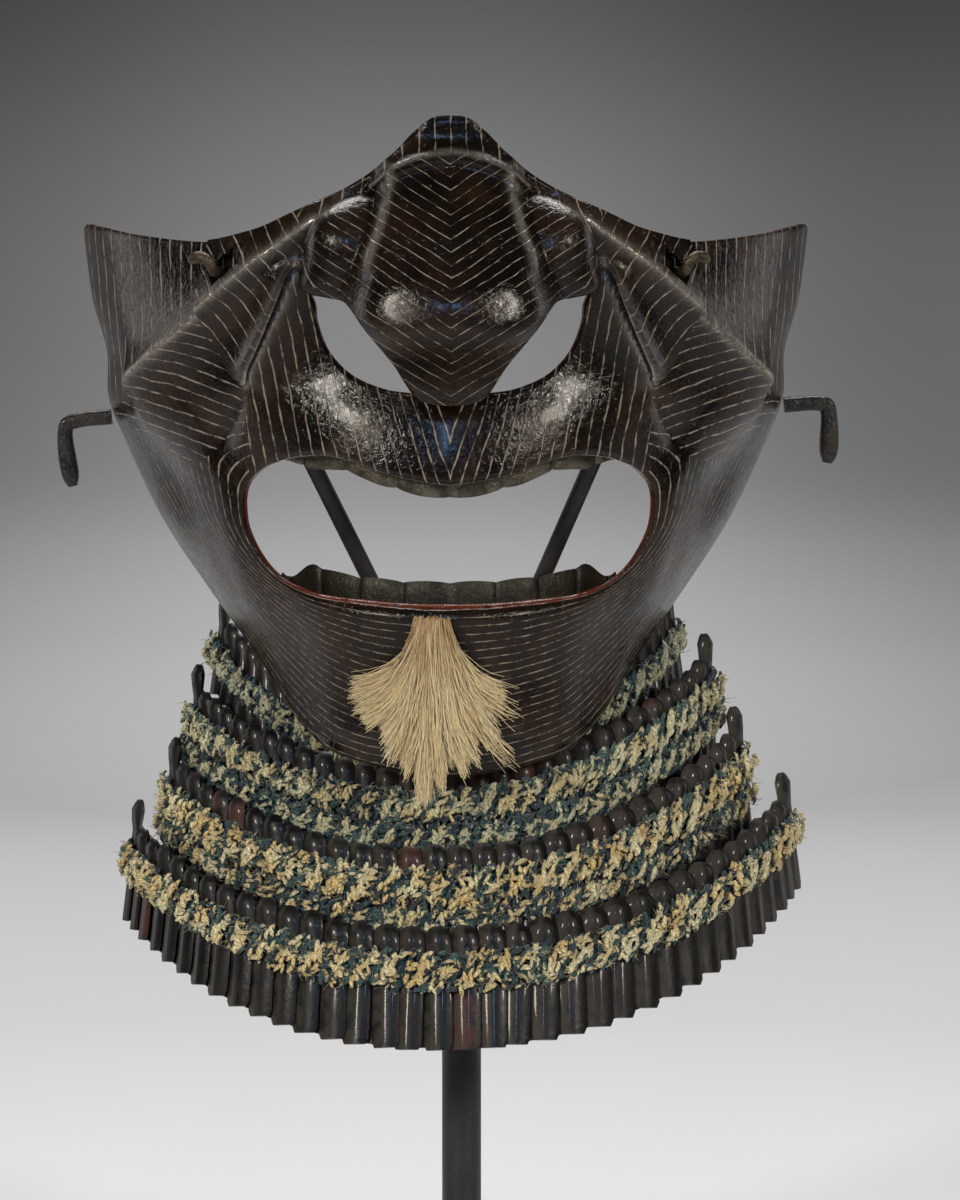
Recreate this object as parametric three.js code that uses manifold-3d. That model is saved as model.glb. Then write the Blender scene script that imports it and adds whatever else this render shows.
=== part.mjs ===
// An iron half mask with a hooked nose, worn on the lower face, and the laced throat guard that hangs from
// its chin, held up by a plain steel display stand.
// Millimetres, +Z up. The mask looks along -Y and +X is at its left cheek. The origin is the centre of the
// underside of the stand's base. The mask's own group has its origin on the axis of the head, level with
// the top of the upper lip, and its walls are given by their distance from that axis.
import * as THREE from "three";
import { mergeVertices } from "three/addons/utils/BufferGeometryUtils.js";
import Module from "manifold-3d";

const wasm = await Module();
wasm.setup();

// ---- driving dimensions -------------------------------------------------------------------------------
const LIP_HEIGHT = 230; // top of the upper lip above the surface that the stand is on
const POST_X = 3; // the post stands this far to the left of the mask's middle
const POST_Y = -36; // and this far in front of the head's axis
const GAP = 0.35; // between pieces that touch
const PLATE = 1.5; // wall of the iron plates
const NOSE_LIFT = 2.3; // outside of the nose piece above the face plate
const LIP_ROLL = 2.4; // how far the edge of the mouth turns in
const LIP_ROUND = 1.6; // and over what width

const DEG = Math.PI / 180;
const ARC = 80 * DEG; // millimetres along the wall for a degree about the head's axis

// ---- numbers on curves --------------------------------------------------------------------------------
const clamp = (x, low, high) => Math.min(high, Math.max(low, x));
const ease = (x) => clamp(x, 0, 1) ** 2 * (3 - 2 * clamp(x, 0, 1));
const mix = (a, b, t) => a + (b - a) * t;
const bump = (distance, width) => Math.exp(-((distance / width) ** 2));

// A smooth curve through the rows of a table: key holds the increasing positions, value one column.
function smoothColumn(key, value, at) {
  const last = key.length - 1;
  const slope = (i) => {
    if (i === 0) return (value[1] - value[0]) / (key[1] - key[0]);
    if (i === last) return (value[last] - value[last - 1]) / (key[last] - key[last - 1]);
    const before = key[i] - key[i - 1];
    const after = key[i + 1] - key[i];
    const rise = (value[i + 1] - value[i]) / after;
    const fall = (value[i] - value[i - 1]) / before;
    return (rise * before + fall * after) / (before + after);
  };
  const x = clamp(at, key[0], key[last]);
  let i = 0;
  while (i < last - 1 && x > key[i + 1]) i += 1;
  const h = key[i + 1] - key[i];
  const t = (x - key[i]) / h;
  return (
    (2 * t ** 3 - 3 * t ** 2 + 1) * value[i] +
    (t ** 3 - 2 * t ** 2 + t) * h * slope(i) +
    (3 * t ** 2 - 2 * t ** 3) * value[i + 1] +
    (t ** 3 - t ** 2) * h * slope(i + 1)
  );
}

// Rows of a table read at evenly spaced places, as arrays.
function resample(rows, count) {
  const key = rows.map((row, i) => i);
  return Array.from({ length: count }, (unused, n) => {
    const at = (n / (count - 1)) * (rows.length - 1);
    return rows[0].map((cell, column) => smoothColumn(key, rows.map((row) => row[column]), at));
  });
}

// ---- the wall of the face -----------------------------------------------------------------------------
// Distance from the head's axis at each height, at 0, 15, 30 ... 90 degrees from the middle of the face.
// [height, 0, 15, 30, 45, 60, 75, 90]
const FACE_SECTIONS = [
  [-84, 74.5, 71.5, 64, 54, 48, 46, 45],
  [-72, 79, 75, 64.5, 54, 48, 46, 45],
  [-58, 80, 77, 67.5, 58.5, 53, 51, 50],
  [-45, 82.5, 80, 73, 65.6, 59.6, 57, 56],
  [-30, 84, 82, 76.5, 72, 67.8, 65.4, 64.5],
  [-15, 86, 84, 79, 76, 73, 71.8, 71.5],
  [-5, 84, 83, 80.5, 78, 76, 75.5, 75.5],
  [6, 80, 80, 79.5, 79, 78, 76.4, 75.6],
  [16, 78.5, 79, 79.5, 79.5, 79.2, 78.8, 78.6],
  [26, 79, 79.5, 80, 80.5, 80.6, 80.2, 80.1],
  [34, 80, 80.5, 80.5, 81, 81.6, 81.2, 81],
  [50, 82, 82, 81, 81, 82, 81.6, 81],
  [70, 82, 82, 81, 81, 82, 81.6, 81],
];
const SECTION_STEP = 15;
const SECTION_HEIGHTS = FACE_SECTIONS.map((row) => row[0]);

// The folds of the cheek, each a line of [degrees, height]: the long cheekbone ridge, the ridge from the
// nostril to the corner of the mouth, and the crease that goes on below it.
const CHEEK_RIDGE = [
  [13, 42.5],
  [20, 36],
  [27, 29.3],
  [33.5, 22.5],
  [39.5, 16.3],
  [46, 10.6],
  [53, 5],
  [60, 0.5],
  [67, -2.5],
];
const NOSTRIL_RIDGE = [
  [21.6, 31],
  [23, 24.5],
  [24.8, 18.8],
  [27.4, 12],
  [29.6, 6.7],
  [32.4, 1.7],
];
const LOWER_CREASE = [
  [32.4, 1.7],
  [34.3, -3.3],
  [37.2, -8],
  [40, -12],
  [43, -15],
];
// How far each fold stands out from the wall, how fast it falls away above it and below it, the shares of
// its length over which it comes in and dies out, and the share of its height left at its low end.
const FOLDS = [
  { line: CHEEK_RIDGE, out: 5.2, above: 9, below: 4.5, comesIn: 0.12, diesOut: 0.18, left: 0 },
  { line: NOSTRIL_RIDGE, out: 5, above: 5, below: 7, comesIn: 0.25, diesOut: 0.15, left: 0.7 },
  { line: LOWER_CREASE, out: -3, above: 6, below: 6, comesIn: 0, diesOut: 0.4, left: 0 },
];
// Soft swellings and hollows of the cheek and jaw: [degrees, height, reach across, reach up, out]
const CHEEK_SWELLINGS = [
  [54, -5, 12, 7, 1.8],
  [57, -23, 11, 9, -2.8],
  [38, -30, 7, 14, 1.8],
  [28, -56, 8, 14, -1.5],
];
// The wing of the nostril and the fullness beside the tip of the nose, in the same columns.
const NOSE_SWELLINGS = [
  [14.6, 29.6, 6.5, 9, 6.5],
  [6.3, 21.5, 5.4, 5.4, 1.8],
];
// Beside the chin the foot of the jaw turns out into a flange, growing from "beside" degrees over "across".
const CHIN_FLANGE = { out: 4.5, from: -73, over: 6, beside: 14, across: 12 };
const LOWER_LIP = { lift: 1.6, from: -24, over: 12 }; // the middle of the lower lip stands up

// The nose above the face: [height, how far its crest stands out, half its width]
const NOSE_SECTIONS = [
  [-2, 7, 8],
  [2, 11, 10],
  [6, 16.5, 12.5],
  [10, 22.5, 15],
  [15, 27.6, 17.5],
  [20, 28.2, 18],
  [26, 24.8, 17],
  [32, 18.8, 15.5],
  [38, 13, 14],
  [44, 8.5, 13.2],
  [50, 4, 13],
  [54, 1.2, 13],
  [58, 1, 14],
  [66, 1.5, 16],
];
const NOSE_HEIGHTS = NOSE_SECTIONS.map((row) => row[0]);
const NOSE_SHOULDER = 3.6; // how squarely the sides of the nose fall away

// Spokes of the face plate, from the edge of the mouth to the outer edge, from the middle of the upper lip
// round to the middle of the chin. [mouth degrees, mouth height, edge degrees, edge height]
const SPOKES = [
  [0, -18.2, 0, 0.2],
  [5, -17.2, 5.5, 1],
  [9.9, -15.6, 10, 1.9],
  [14.5, -13.4, 15, 4.7],
  [18.5, -12.4, 18.6, 9.5],
  [22, -12.6, 20.2, 15.5],
  [25, -13.2, 20.6, 21],
  [27.5, -14.2, 24, 31.5],
  [29.5, -15.2, 32, 32.2],
  [31.2, -16.4, 42, 32],
  [32.5, -17.6, 55, 32.8],
  [33.6, -19, 70, 34],
  [34.3, -20.6, 83, 33],
  [34.7, -22.4, 86, 22],
  [34.8, -24.4, 85.5, 10],
  [34.8, -26.6, 85, 0],
  [34.6, -29, 84.5, -9],
  [34, -31.6, 83, -18],
  [33, -34.4, 79, -27],
  [31.4, -37.2, 74, -36],
  [28.8, -39.8, 65, -45],
  [25.2, -41.8, 54, -53.5],
  [20.8, -43.3, 43, -62],
  [15.8, -44.2, 32, -70.5],
  [10.5, -44.7, 21, -76],
  [5.2, -45, 10, -79.3],
  [0, -45, 0, -80.8],
];

// The nose piece, from its middle to the edge of its side flap.
// [top degrees, top height, low degrees, low height]
const NOSE_COLUMNS = [
  [0, 59, 0, -0.8],
  [2.6, 58.4, 2.5, -0.5],
  [5.2, 55.4, 5, 1.6],
  [8, 51, 7.3, 8.8],
  [11.5, 47, 9.9, 15.3],
  [14.5, 44.3, 12.8, 20.2],
  [17, 42.4, 16, 21.3],
  [19.3, 40.8, 19.6, 22.6],
  [21, 39.6, 22.2, 27.5],
  [23.5, 38, 24.2, 21.5],
  [27, 35.8, 26.9, 14],
  [31, 34.2, 29.8, 6.8],
  [34.5, 33.1, 32.2, 2],
  [37.3, 32.5, 34.4, 3.6],
];
const FLAP = { bulge: 2.6, from: 27, over: 10 }; // degrees that the flap's free edge bows out, and where

function wall(degrees, height) {
  const row = FACE_SECTIONS[0].slice(1).map((cell, column) =>
    smoothColumn(SECTION_HEIGHTS, FACE_SECTIONS.map((section) => section[column + 1]), height),
  );
  const padded = [row[1], ...row, 2 * row.at(-1) - row.at(-2)];
  const at = Math.abs(degrees) / SECTION_STEP;
  const i = Math.min(Math.floor(at), row.length - 2);
  const t = at - i;
  const [a, b, c, d] = padded.slice(i, i + 4);
  return (
    0.5 *
    (2 * b + (c - a) * t + (2 * a - 5 * b + 4 * c - d) * t ** 2 + (3 * b - a - 3 * c + d) * t ** 3)
  );
}

// How far a place on the wall is from a fold, above it or below it, and how far along the fold, 0 to 1.
function foldDistance(fold, degrees, height) {
  const across = Math.abs(degrees) * ARC;
  const points = fold.map(([d, h]) => [d * ARC, h]);
  const runs = points.slice(1).map((p, i) => Math.hypot(p[0] - points[i][0], p[1] - points[i][1]));
  const whole = runs.reduce((sum, run) => sum + run, 0);
  let best = { distance: Infinity, side: 1, along: 0 };
  let before = 0;
  runs.forEach((run, i) => {
    const [dx, dz] = [points[i + 1][0] - points[i][0], points[i + 1][1] - points[i][1]];
    const [px, pz] = [across - points[i][0], height - points[i][1]];
    const t = clamp((px * dx + pz * dz) / run ** 2, 0, 1);
    const distance = Math.hypot(px - t * dx, pz - t * dz);
    if (distance < best.distance) {
      best = { distance, side: dx * pz - dz * px >= 0 ? 1 : -1, along: (before + t * run) / whole };
    }
    before += run;
  });
  return best;
}

// A rounded crest that falls away by 1/e over a width, one width above the fold and another below it.
const CREST_ROUND = 0.6;
function crest({ distance, side }, above, below) {
  return Math.exp(-(Math.hypot(distance, CREST_ROUND) - CREST_ROUND) / (side > 0 ? above : below));
}

const swellingsAt = (table, degrees, height) =>
  table.reduce((sum, [atDegrees, atHeight, across, up, out]) => {
    const beside = bump((Math.abs(degrees) - atDegrees) * ARC, across);
    return sum + out * beside * bump(height - atHeight, up);
  }, 0);

function relief(degrees, height) {
  const folds = FOLDS.reduce((sum, { line, out, above, below, comesIn, diesOut, left }) => {
    const place = foldDistance(line, degrees, height);
    const start = comesIn ? ease(place.along / comesIn) : 1;
    const end = mix(1, left, ease((place.along - 1 + diesOut) / diesOut));
    return sum + out * crest(place, above, below) * start * end;
  }, 0);
  const { out, from, over, beside, across } = CHIN_FLANGE;
  const flange = out * ease((from - height) / over) * ease((Math.abs(degrees) - beside) / across);
  return folds + swellingsAt(CHEEK_SWELLINGS, degrees, height) + flange;
}

function noseHeight(degrees, height) {
  const column = (n) => smoothColumn(NOSE_HEIGHTS, NOSE_SECTIONS.map((row) => row[n]), height);
  const across = Math.abs(degrees) * ARC;
  const ridge = column(1) / (1 + (across / column(2)) ** NOSE_SHOULDER);
  return ridge + swellingsAt(NOSE_SWELLINGS, degrees, height);
}

const faceRadius = (degrees, height) => wall(degrees, height) + relief(degrees, height);
const noseRadius = (degrees, height) => faceRadius(degrees, height) + noseHeight(degrees, height);

function onFace(degrees, height, radius) {
  const angle = degrees * DEG;
  return [radius * Math.sin(angle), -radius * Math.cos(angle), height];
}

// ---- solids from grids of points ----------------------------------------------------------------------
const solidFrom = (points, triangles) =>
  new wasm.Manifold(
    new wasm.Mesh({
      numProp: 3,
      vertProperties: new Float32Array(points.flat()),
      triVerts: new Uint32Array(triangles.flat()),
    }),
  );

function outward(solid, points, triangles) {
  if (solid.volume() > 0) return solid;
  return solidFrom(points, triangles.map(([a, b, c]) => [a, c, b]));
}

// A wall between two grids of the same size, whose rows run across it. A round wall joins its last row to
// its first. Each quad is split along its shorter diagonal.
function wallSolid(outer, inner, round) {
  const rows = outer.length;
  const columns = outer[0].length;
  const points = [...outer.flat(), ...inner.flat()];
  const place = (side, row, column) => side * rows * columns + (row % rows) * columns + column;
  const triangles = [];
  const span = (a, b) => Math.hypot(...points[a].map((value, axis) => value - points[b][axis]));
  const quad = (a, b, c, d) => {
    if (span(a, c) <= span(b, d)) triangles.push([a, b, c], [a, c, d]);
    else triangles.push([a, b, d], [b, c, d]);
  };
  const edge = columns - 1;
  for (let row = 0; row < rows - (round ? 0 : 1); row += 1) {
    const next = row + 1;
    for (let n = 0; n < edge; n += 1) {
      quad(place(0, row, n), place(0, row, n + 1), place(0, next, n + 1), place(0, next, n));
      quad(place(1, row, n), place(1, next, n), place(1, next, n + 1), place(1, row, n + 1));
    }
    quad(place(0, row, 0), place(0, next, 0), place(1, next, 0), place(1, row, 0));
    quad(place(0, row, edge), place(1, row, edge), place(1, next, edge), place(0, next, edge));
  }
  if (!round) {
    const end = rows - 1;
    for (let n = 0; n < edge; n += 1) {
      quad(place(0, 0, n), place(1, 0, n), place(1, 0, n + 1), place(0, 0, n + 1));
      quad(place(0, end, n), place(0, end, n + 1), place(1, end, n + 1), place(1, end, n));
    }
  }
  return outward(solidFrom(points, triangles), points, triangles);
}

// A solid through closed loops of points, one loop after another, with its two ends capped.
function loftSolid(loops) {
  const count = loops[0].length;
  const triangles = [];
  loops.slice(1).forEach((unused, i) => {
    for (let n = 0; n < count; n += 1) {
      const [a, b] = [i * count + n, i * count + ((n + 1) % count)];
      triangles.push([a, b, b + count], [a, b + count, a + count]);
    }
  });
  for (let n = 1; n < count - 1; n += 1) {
    triangles.push([0, n + 1, n]);
    const end = (loops.length - 1) * count;
    triangles.push([end, end + n, end + n + 1]);
  }
  const points = loops.flat();
  return outward(solidFrom(points, triangles), points, triangles);
}

// A bar whose square or round section runs along a path of [x, y, z, width, height].
function barSolid(path, sides, upward = [0, 0, 1]) {
  const centre = path.map(([x, y, z]) => new THREE.Vector3(x, y, z));
  const last = path.length - 1;
  const loops = path.map(([x, y, z, width, depth], i) => {
    const ahead = centre[Math.min(i + 1, last)].clone().sub(centre[Math.max(i - 1, 0)]).normalize();
    const across = new THREE.Vector3(...upward).cross(ahead).normalize();
    const over = ahead.clone().cross(across);
    return Array.from({ length: sides }, (unused, n) => {
      const turn = ((n + 0.5) / sides) * 2 * Math.PI;
      const reach = 1 / Math.cos(Math.PI / sides);
      const point = centre[i].clone();
      point.addScaledVector(across, (Math.cos(turn) * width * reach) / 2);
      point.addScaledVector(over, (Math.sin(turn) * depth * reach) / 2);
      return point.toArray();
    });
  });
  return loftSolid(loops);
}

function solidOf(geometry) {
  const bare = geometry.clone();
  bare.deleteAttribute("normal");
  bare.deleteAttribute("uv");
  const merged = mergeVertices(bare, 1e-4);
  return new wasm.Manifold(
    new wasm.Mesh({
      numProp: 3,
      vertProperties: new Float32Array(merged.attributes.position.array),
      triVerts: new Uint32Array(merged.index.array),
    }),
  );
}

function geometryOf(solid) {
  const { vertProperties, triVerts, numProp } = solid.getMesh();
  const positions = [];
  for (let i = 0; i < vertProperties.length; i += numProp) {
    positions.push(...vertProperties.slice(i, i + 3));
  }
  const geometry = new THREE.BufferGeometry();
  geometry.setAttribute("position", new THREE.Float32BufferAttribute(positions, 3));
  geometry.setIndex([...triVerts]);
  geometry.computeVertexNormals();
  return geometry;
}

// ---- finishes -----------------------------------------------------------------------------------------
const finish = (color, roughness, metalness) =>
  new THREE.MeshStandardMaterial({ color, roughness, metalness });
const RUSSET_IRON = finish(0x2b1e17, 0.38, 0.6);
const SILVERED_TEETH = finish(0x8b8574, 0.35, 0.8);
const BLACK_LACQUER = finish(0x0e0d0c, 0.25, 0.1);
const LACING_SILK = finish(0xc2b57a, 0.85, 0);
const PALE_BRISTLE = finish(0xcbb07a, 0.6, 0);
const STAND_STEEL = finish(0x141414, 0.5, 0.5);

const mask = new THREE.Group();
const stand = new THREE.Group();

function addPiece(group, name, shape, material) {
  const geometry = shape.isBufferGeometry ? shape : geometryOf(shape);
  const mesh = new THREE.Mesh(geometry, material);
  mesh.name = name;
  group.add(mesh);
  return mesh;
}

const SIDES = [
  { name: "left", hand: 1 },
  { name: "right", hand: -1 },
];

// ---- nose piece: the nose with its two side flaps, in front of the face plate -------------------------
const NOSE_ROWS = 17; // columns of facets on each half
const NOSE_FACETS = 12; // points from the top edge to the low edge

function noseGrid(raise) {
  const half = resample(NOSE_COLUMNS, NOSE_ROWS);
  const whole = [...half.slice(1).reverse().map((row) => [-row[0], row[1], -row[2], row[3]]), ...half];
  return whole.map(([topDegrees, top, lowDegrees, low]) => {
    const share = ease((Math.abs(topDegrees) - FLAP.from) / FLAP.over);
    return Array.from({ length: NOSE_FACETS }, (unused, n) => {
      const t = n / (NOSE_FACETS - 1);
      const bow = Math.sign(topDegrees) * FLAP.bulge * share * Math.sin(Math.PI * t);
      const degrees = mix(topDegrees, lowDegrees, t) + bow;
      const height = mix(top, low, t);
      return onFace(degrees, height, noseRadius(degrees, height) + raise);
    });
  });
}

// Each flap has a slot that drops over a bent peg on the face plate.
const PEG = { degrees: 34.3, height: 26, thick: 2.6 };
const SLOT = { length: 8.4, width: 4, depth: 14, past: 2, slope: 36 * DEG };

function pegFrame(hand) {
  const radius = faceRadius(PEG.degrees, PEG.height);
  const [x, y, z] = onFace(hand * PEG.degrees, PEG.height, radius);
  return new THREE.Matrix4().makeRotationZ(hand * PEG.degrees * DEG).setPosition(x, y, z);
}

let nosePiece = wallSolid(noseGrid(NOSE_LIFT), noseGrid(NOSE_LIFT - PLATE), false);
for (const { hand } of SIDES) {
  const slot = new THREE.BoxGeometry(SLOT.length, SLOT.depth, SLOT.width);
  slot.translate(-hand * SLOT.past, 0, 0).rotateY(hand * SLOT.slope).applyMatrix4(pegFrame(hand));
  nosePiece = nosePiece.subtract(solidOf(slot));
}
addPiece(mask, "nose_piece", nosePiece, RUSSET_IRON);

// ---- face plate: cheeks, lips, jaw and chin in one sheet, with the mouth open -------------------------
const SPOKE_COUNT = 37; // on each half
const RING_COUNT = 9;
const ROLL_FADE = { from: 12, over: 20, left: 0.2 }; // the rolled lip fades towards the mouth's corners

function faceGrid(sink) {
  const half = resample(SPOKES, SPOKE_COUNT);
  const other = half.slice(1, -1).reverse().map((row) => [-row[0], row[1], -row[2], row[3]]);
  return [...half, ...other].map(([mouthDegrees, mouth, edgeDegrees, edge]) => {
    const lowerLip = ease((LOWER_LIP.from - mouth) / LOWER_LIP.over);
    const corner = ease((Math.abs(mouthDegrees) - ROLL_FADE.from) / ROLL_FADE.over);
    const fading = mix(1, ROLL_FADE.left, corner);
    const rolled = [mouthDegrees, mouth + LOWER_LIP.lift * lowerLip * fading];
    const ring = [onFace(...rolled, faceRadius(...rolled) - LIP_ROLL * fading - sink)];
    const length = Math.hypot((edgeDegrees - mouthDegrees) * ARC, edge - mouth);
    for (let n = 0; n < RING_COUNT; n += 1) {
      const t = mix(LIP_ROUND / length, 1, n / (RING_COUNT - 1));
      const degrees = mix(mouthDegrees, edgeDegrees, t);
      const height = mix(mouth, edge, t);
      ring.push(onFace(degrees, height, faceRadius(degrees, height) - sink));
    }
    return ring;
  });
}

addPiece(mask, "face_plate", wallSolid(faceGrid(0), faceGrid(PLATE), true), RUSSET_IRON);

const ROD_SIDES = 8;
// The peg's path from the face plate: [outward along the cheek, away from the cheek, up].
const PEG_PATH = [
  [0, 1, 0],
  [0, 3.3, 0],
  [0, 4.9, 1.9],
  [1.8, 5.6, 3.2],
  [5.2, 5.2, 2.4],
];

for (const { name, hand } of SIDES) {
  const path = PEG_PATH.map(([along, away, up]) => [hand * along, -away, up, PEG.thick, PEG.thick]);
  const peg = geometryOf(barSolid(path, ROD_SIDES)).applyMatrix4(pegFrame(hand));
  addPiece(mask, "nose_peg_" + name, peg, BLACK_LACQUER);
}

// ---- teeth: scalloped silver strips just behind the lips ----------------------------------------------
// How far round each strip reaches, how wide a tooth is, where its root and its tips are from the edge of
// the lip, and how deep its scallops are.
const TOOTH_STRIPS = [
  { name: "upper_teeth", reach: 29, tooth: 11.2, root: 3.2, tip: -2.5, scallop: 0.7, sign: 1 },
  { name: "lower_teeth", reach: 31, tooth: 10.3, root: -3.2, tip: 5.6, scallop: 0.6, sign: -1 },
];
const TOOTH_STEPS = 37;
const TOOTH_DEPTH = 4.9; // front of the strip behind the lip's outside, clear of its rolled edge
const TOOTH_WALL = 0.8;
const TOOTH_ROUND = 0.6; // below 1, so that a tooth's edge is flat with round corners
const TOOTH_TAPER = { from: 0.75, left: 0.25 }; // the strip narrows over the last of its reach
const UPPER_LIP = SPOKES.slice(0, 12);
const LOWER_LIP_EDGE = SPOKES.slice(16).reverse();

function lipHeight(degrees, rows) {
  return smoothColumn(rows.map((row) => row[0]), rows.map((row) => row[1]), Math.abs(degrees));
}

for (const { name, reach, tooth, root, tip, scallop, sign } of TOOTH_STRIPS) {
  const face = (sink) =>
    Array.from({ length: TOOTH_STEPS }, (unused, n) => {
      const degrees = mix(-reach, reach, n / (TOOTH_STEPS - 1));
      const lip = lipHeight(degrees, sign > 0 ? UPPER_LIP : LOWER_LIP_EDGE);
      const wave = Math.abs(Math.sin(((degrees * ARC) / tooth) * Math.PI)) ** TOOTH_ROUND;
      const taper = ease((Math.abs(degrees) / reach - TOOTH_TAPER.from) / (1 - TOOTH_TAPER.from));
      const low = lip + (tip - sign * scallop * wave) * mix(1, TOOTH_TAPER.left, taper);
      const radius = faceRadius(degrees, lip) - TOOTH_DEPTH - sink;
      return [onFace(degrees, lip + root, radius), onFace(degrees, low, radius)];
    });
  addPiece(mask, name, wallSolid(face(0), face(TOOTH_WALL), false), SILVERED_TEETH);
}

// ---- cheek hooks: bent bars at the corners of the jaw, for the cords that tie the mask on --------------
const HOOK_DEGREES = 80;
// Paths away from the seat on the jaw: [out, up, width, height]
const LEFT_HOOK = [
  [0, 0, 3.4, 4.4],
  [7.6, 0.4, 3.4, 3.9],
  [9.4, 0, 3.6, 3.8],
  [9.9, -1.8, 3.6, 3.8],
  [9.8, -11.6, 3.4, 3.8],
  [9.6, -12.8, 2.2, 2.6],
];
const RIGHT_HOOK = [
  [0, 0, 3.4, 4],
  [7.8, -0.9, 3.4, 3.7],
  [9.8, -1.7, 3.4, 3.5],
  [10.3, -3.5, 3.4, 3.4],
  [8.9, -14.2, 3.2, 3.2],
  [8.6, -15.4, 2, 2.2],
];
const HOOKS = [
  { name: "cheek_hook_left", hand: 1, seat: -6.1, path: LEFT_HOOK },
  { name: "cheek_hook_right", hand: -1, seat: -8.5, path: RIGHT_HOOK },
];

for (const { name, hand, seat, path } of HOOKS) {
  const [x, y, z] = onFace(hand * HOOK_DEGREES, seat, faceRadius(HOOK_DEGREES, seat) + 3 * GAP);
  const bar = path.map(([out, up, width, height]) => [x + hand * out, y, z + up, width, height]);
  addPiece(mask, name, barSolid(bar, ROD_SIDES, [0, 1, 0]), BLACK_LACQUER);
}

// ---- chin tuft: the outer form of the bristles below the lower lip ------------------------------------
// [height, right edge, left edge, thickness]
const TUFT_SECTIONS = [
  [-47.5, -4.5, 4, 3],
  [-52, -6.5, 6, 4],
  [-58, -11.5, 8.5, 4.6],
  [-64, -16, 10.5, 4.4],
  [-70, -13.5, 11.5, 4],
  [-76, -8, 9, 3.4],
  [-82.5, -5, 4.5, 2],
];
const TUFT_SIDES = 12;
const TUFT_OUT = 1.25; // back of the bristles in front of the chin
const TUFT_DROP = { height: -78, share: 1.03 }; // below the chin they hang straight down from this radius

const tuftLoops = TUFT_SECTIONS.map(([height, right, left, thickness]) =>
  Array.from({ length: TUFT_SIDES }, (unused, n) => {
    const turn = (n / TUFT_SIDES) * 2 * Math.PI;
    const x = (left + right) / 2 + ((left - right) / 2) * Math.cos(turn);
    const degrees = x / ARC;
    const back = Math.max(faceRadius(degrees, height), faceRadius(0, TUFT_DROP.height) * TUFT_DROP.share);
    return onFace(degrees, height, back + TUFT_OUT + (thickness / 2) * (1 + Math.sin(turn)));
  }),
);
addPiece(mask, "chin_tuft", loftSolid(tuftLoops), PALE_BRISTLE);

// ---- throat guard: four curved lames, each outside the one above --------------------------------------
// front and side are the half-ellipse's radii at the top of a lame, and frontFlare and sideFlare how much
// they grow down to its foot. span is the degrees from the middle to each end.
const LAMES = [
  { front: 35.2, side: 50.8, frontFlare: 9, sideFlare: 2.5, span: 75, scales: 28 },
  { front: 50.4, side: 58.8, frontFlare: 8, sideFlare: 1.2, span: 73, scales: 31 },
  { front: 62.2, side: 65.4, frontFlare: 8, sideFlare: 2.4, span: 71.5, scales: 31 },
  { front: 72.5, side: 73.8, frontFlare: 8, sideFlare: 2.6, span: 75.5, scales: 35 },
];
// top and foot are heights at the middle, rise and footRise how much higher the sides are, climb how late
// they start to climb, and shift and tilt how far the lame hangs off the middle and off level.
const HANGING = [
  { top: -70, foot: -92, rise: 21.5, footRise: 28, climb: 2.6, shift: -0.4, tilt: 0.03 },
  { top: -80.6, foot: -104.5, rise: 19.2, footRise: 20.4, climb: 2.05, shift: 1, tilt: 0.062 },
  { top: -95.8, foot: -119.9, rise: 19.4, footRise: 19.6, climb: 2.2, shift: 1.7, tilt: 0.053 },
  { top: -111.4, foot: -135.5, rise: 19.5, footRise: 23.3, climb: 2.25, shift: 2.9, tilt: 0.044 },
];
// Where lacing covers a lame, as shares of its height.
const LACING = [
  { lame: 1, name: "lacing_1", from: 0.28, to: 0.56 },
  { lame: 2, name: "lacing_2_upper", from: 0.18, to: 0.42 },
  { lame: 2, name: "lacing_2_lower", from: 0.48, to: 0.69 },
  { lame: 3, name: "lacing_3_upper", from: 0.17, to: 0.45 },
  { lame: 3, name: "lacing_3_lower", from: 0.5, to: 0.66 },
  { lame: 4, name: "lacing_4", from: 0.19, to: 0.48 },
];
const GUARD_AXIS_Y = -14;
const LAME_WALL = 1.5;
const SCALE_RIB = 0.8; // how far each scale's rib stands out
const SCALE_HEAD = 1; // how far its head stands up
const END_SPIKE = 5; // how far the last scale at each end stands up
const BAND_WALL = 1.7;
const BAND_GAP = 0.7;
const BAND_SHORT = 1; // degrees that a band stops short of the lame's end
const BAND_STEPS = 29;

function lamePoint(index, degrees, share, out) {
  const lame = LAMES[index];
  const { top, foot, rise, footRise, climb, shift, tilt } = HANGING[index];
  const angle = degrees * DEG;
  const climbed = Math.abs(Math.sin(angle)) ** climb;
  const x = (lame.side + lame.sideFlare * share + out) * Math.sin(angle);
  const y = GUARD_AXIS_Y - (lame.front + lame.frontFlare * share + out) * Math.cos(angle);
  return [x + shift, y, mix(top + rise * climbed, foot + footRise * climbed, share) + tilt * x];
}

LAMES.forEach(({ span, scales }, index) => {
  const columns = 2 * scales + 1;
  const sheet = (out, rib) =>
    Array.from({ length: columns }, (unused, n) => {
      const degrees = mix(-span, span, n / (columns - 1));
      const crown = n % 2;
      const head = lamePoint(index, degrees, 0, out + rib * crown);
      head[2] += n === 0 || n === columns - 1 ? END_SPIKE : SCALE_HEAD * crown;
      return [head, lamePoint(index, degrees, 1, out + rib * crown)];
    });
  const lame = wallSolid(sheet(0, SCALE_RIB), sheet(-LAME_WALL, 0), false);
  addPiece(mask, "throat_lame_" + (index + 1), lame, BLACK_LACQUER);
});

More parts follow.
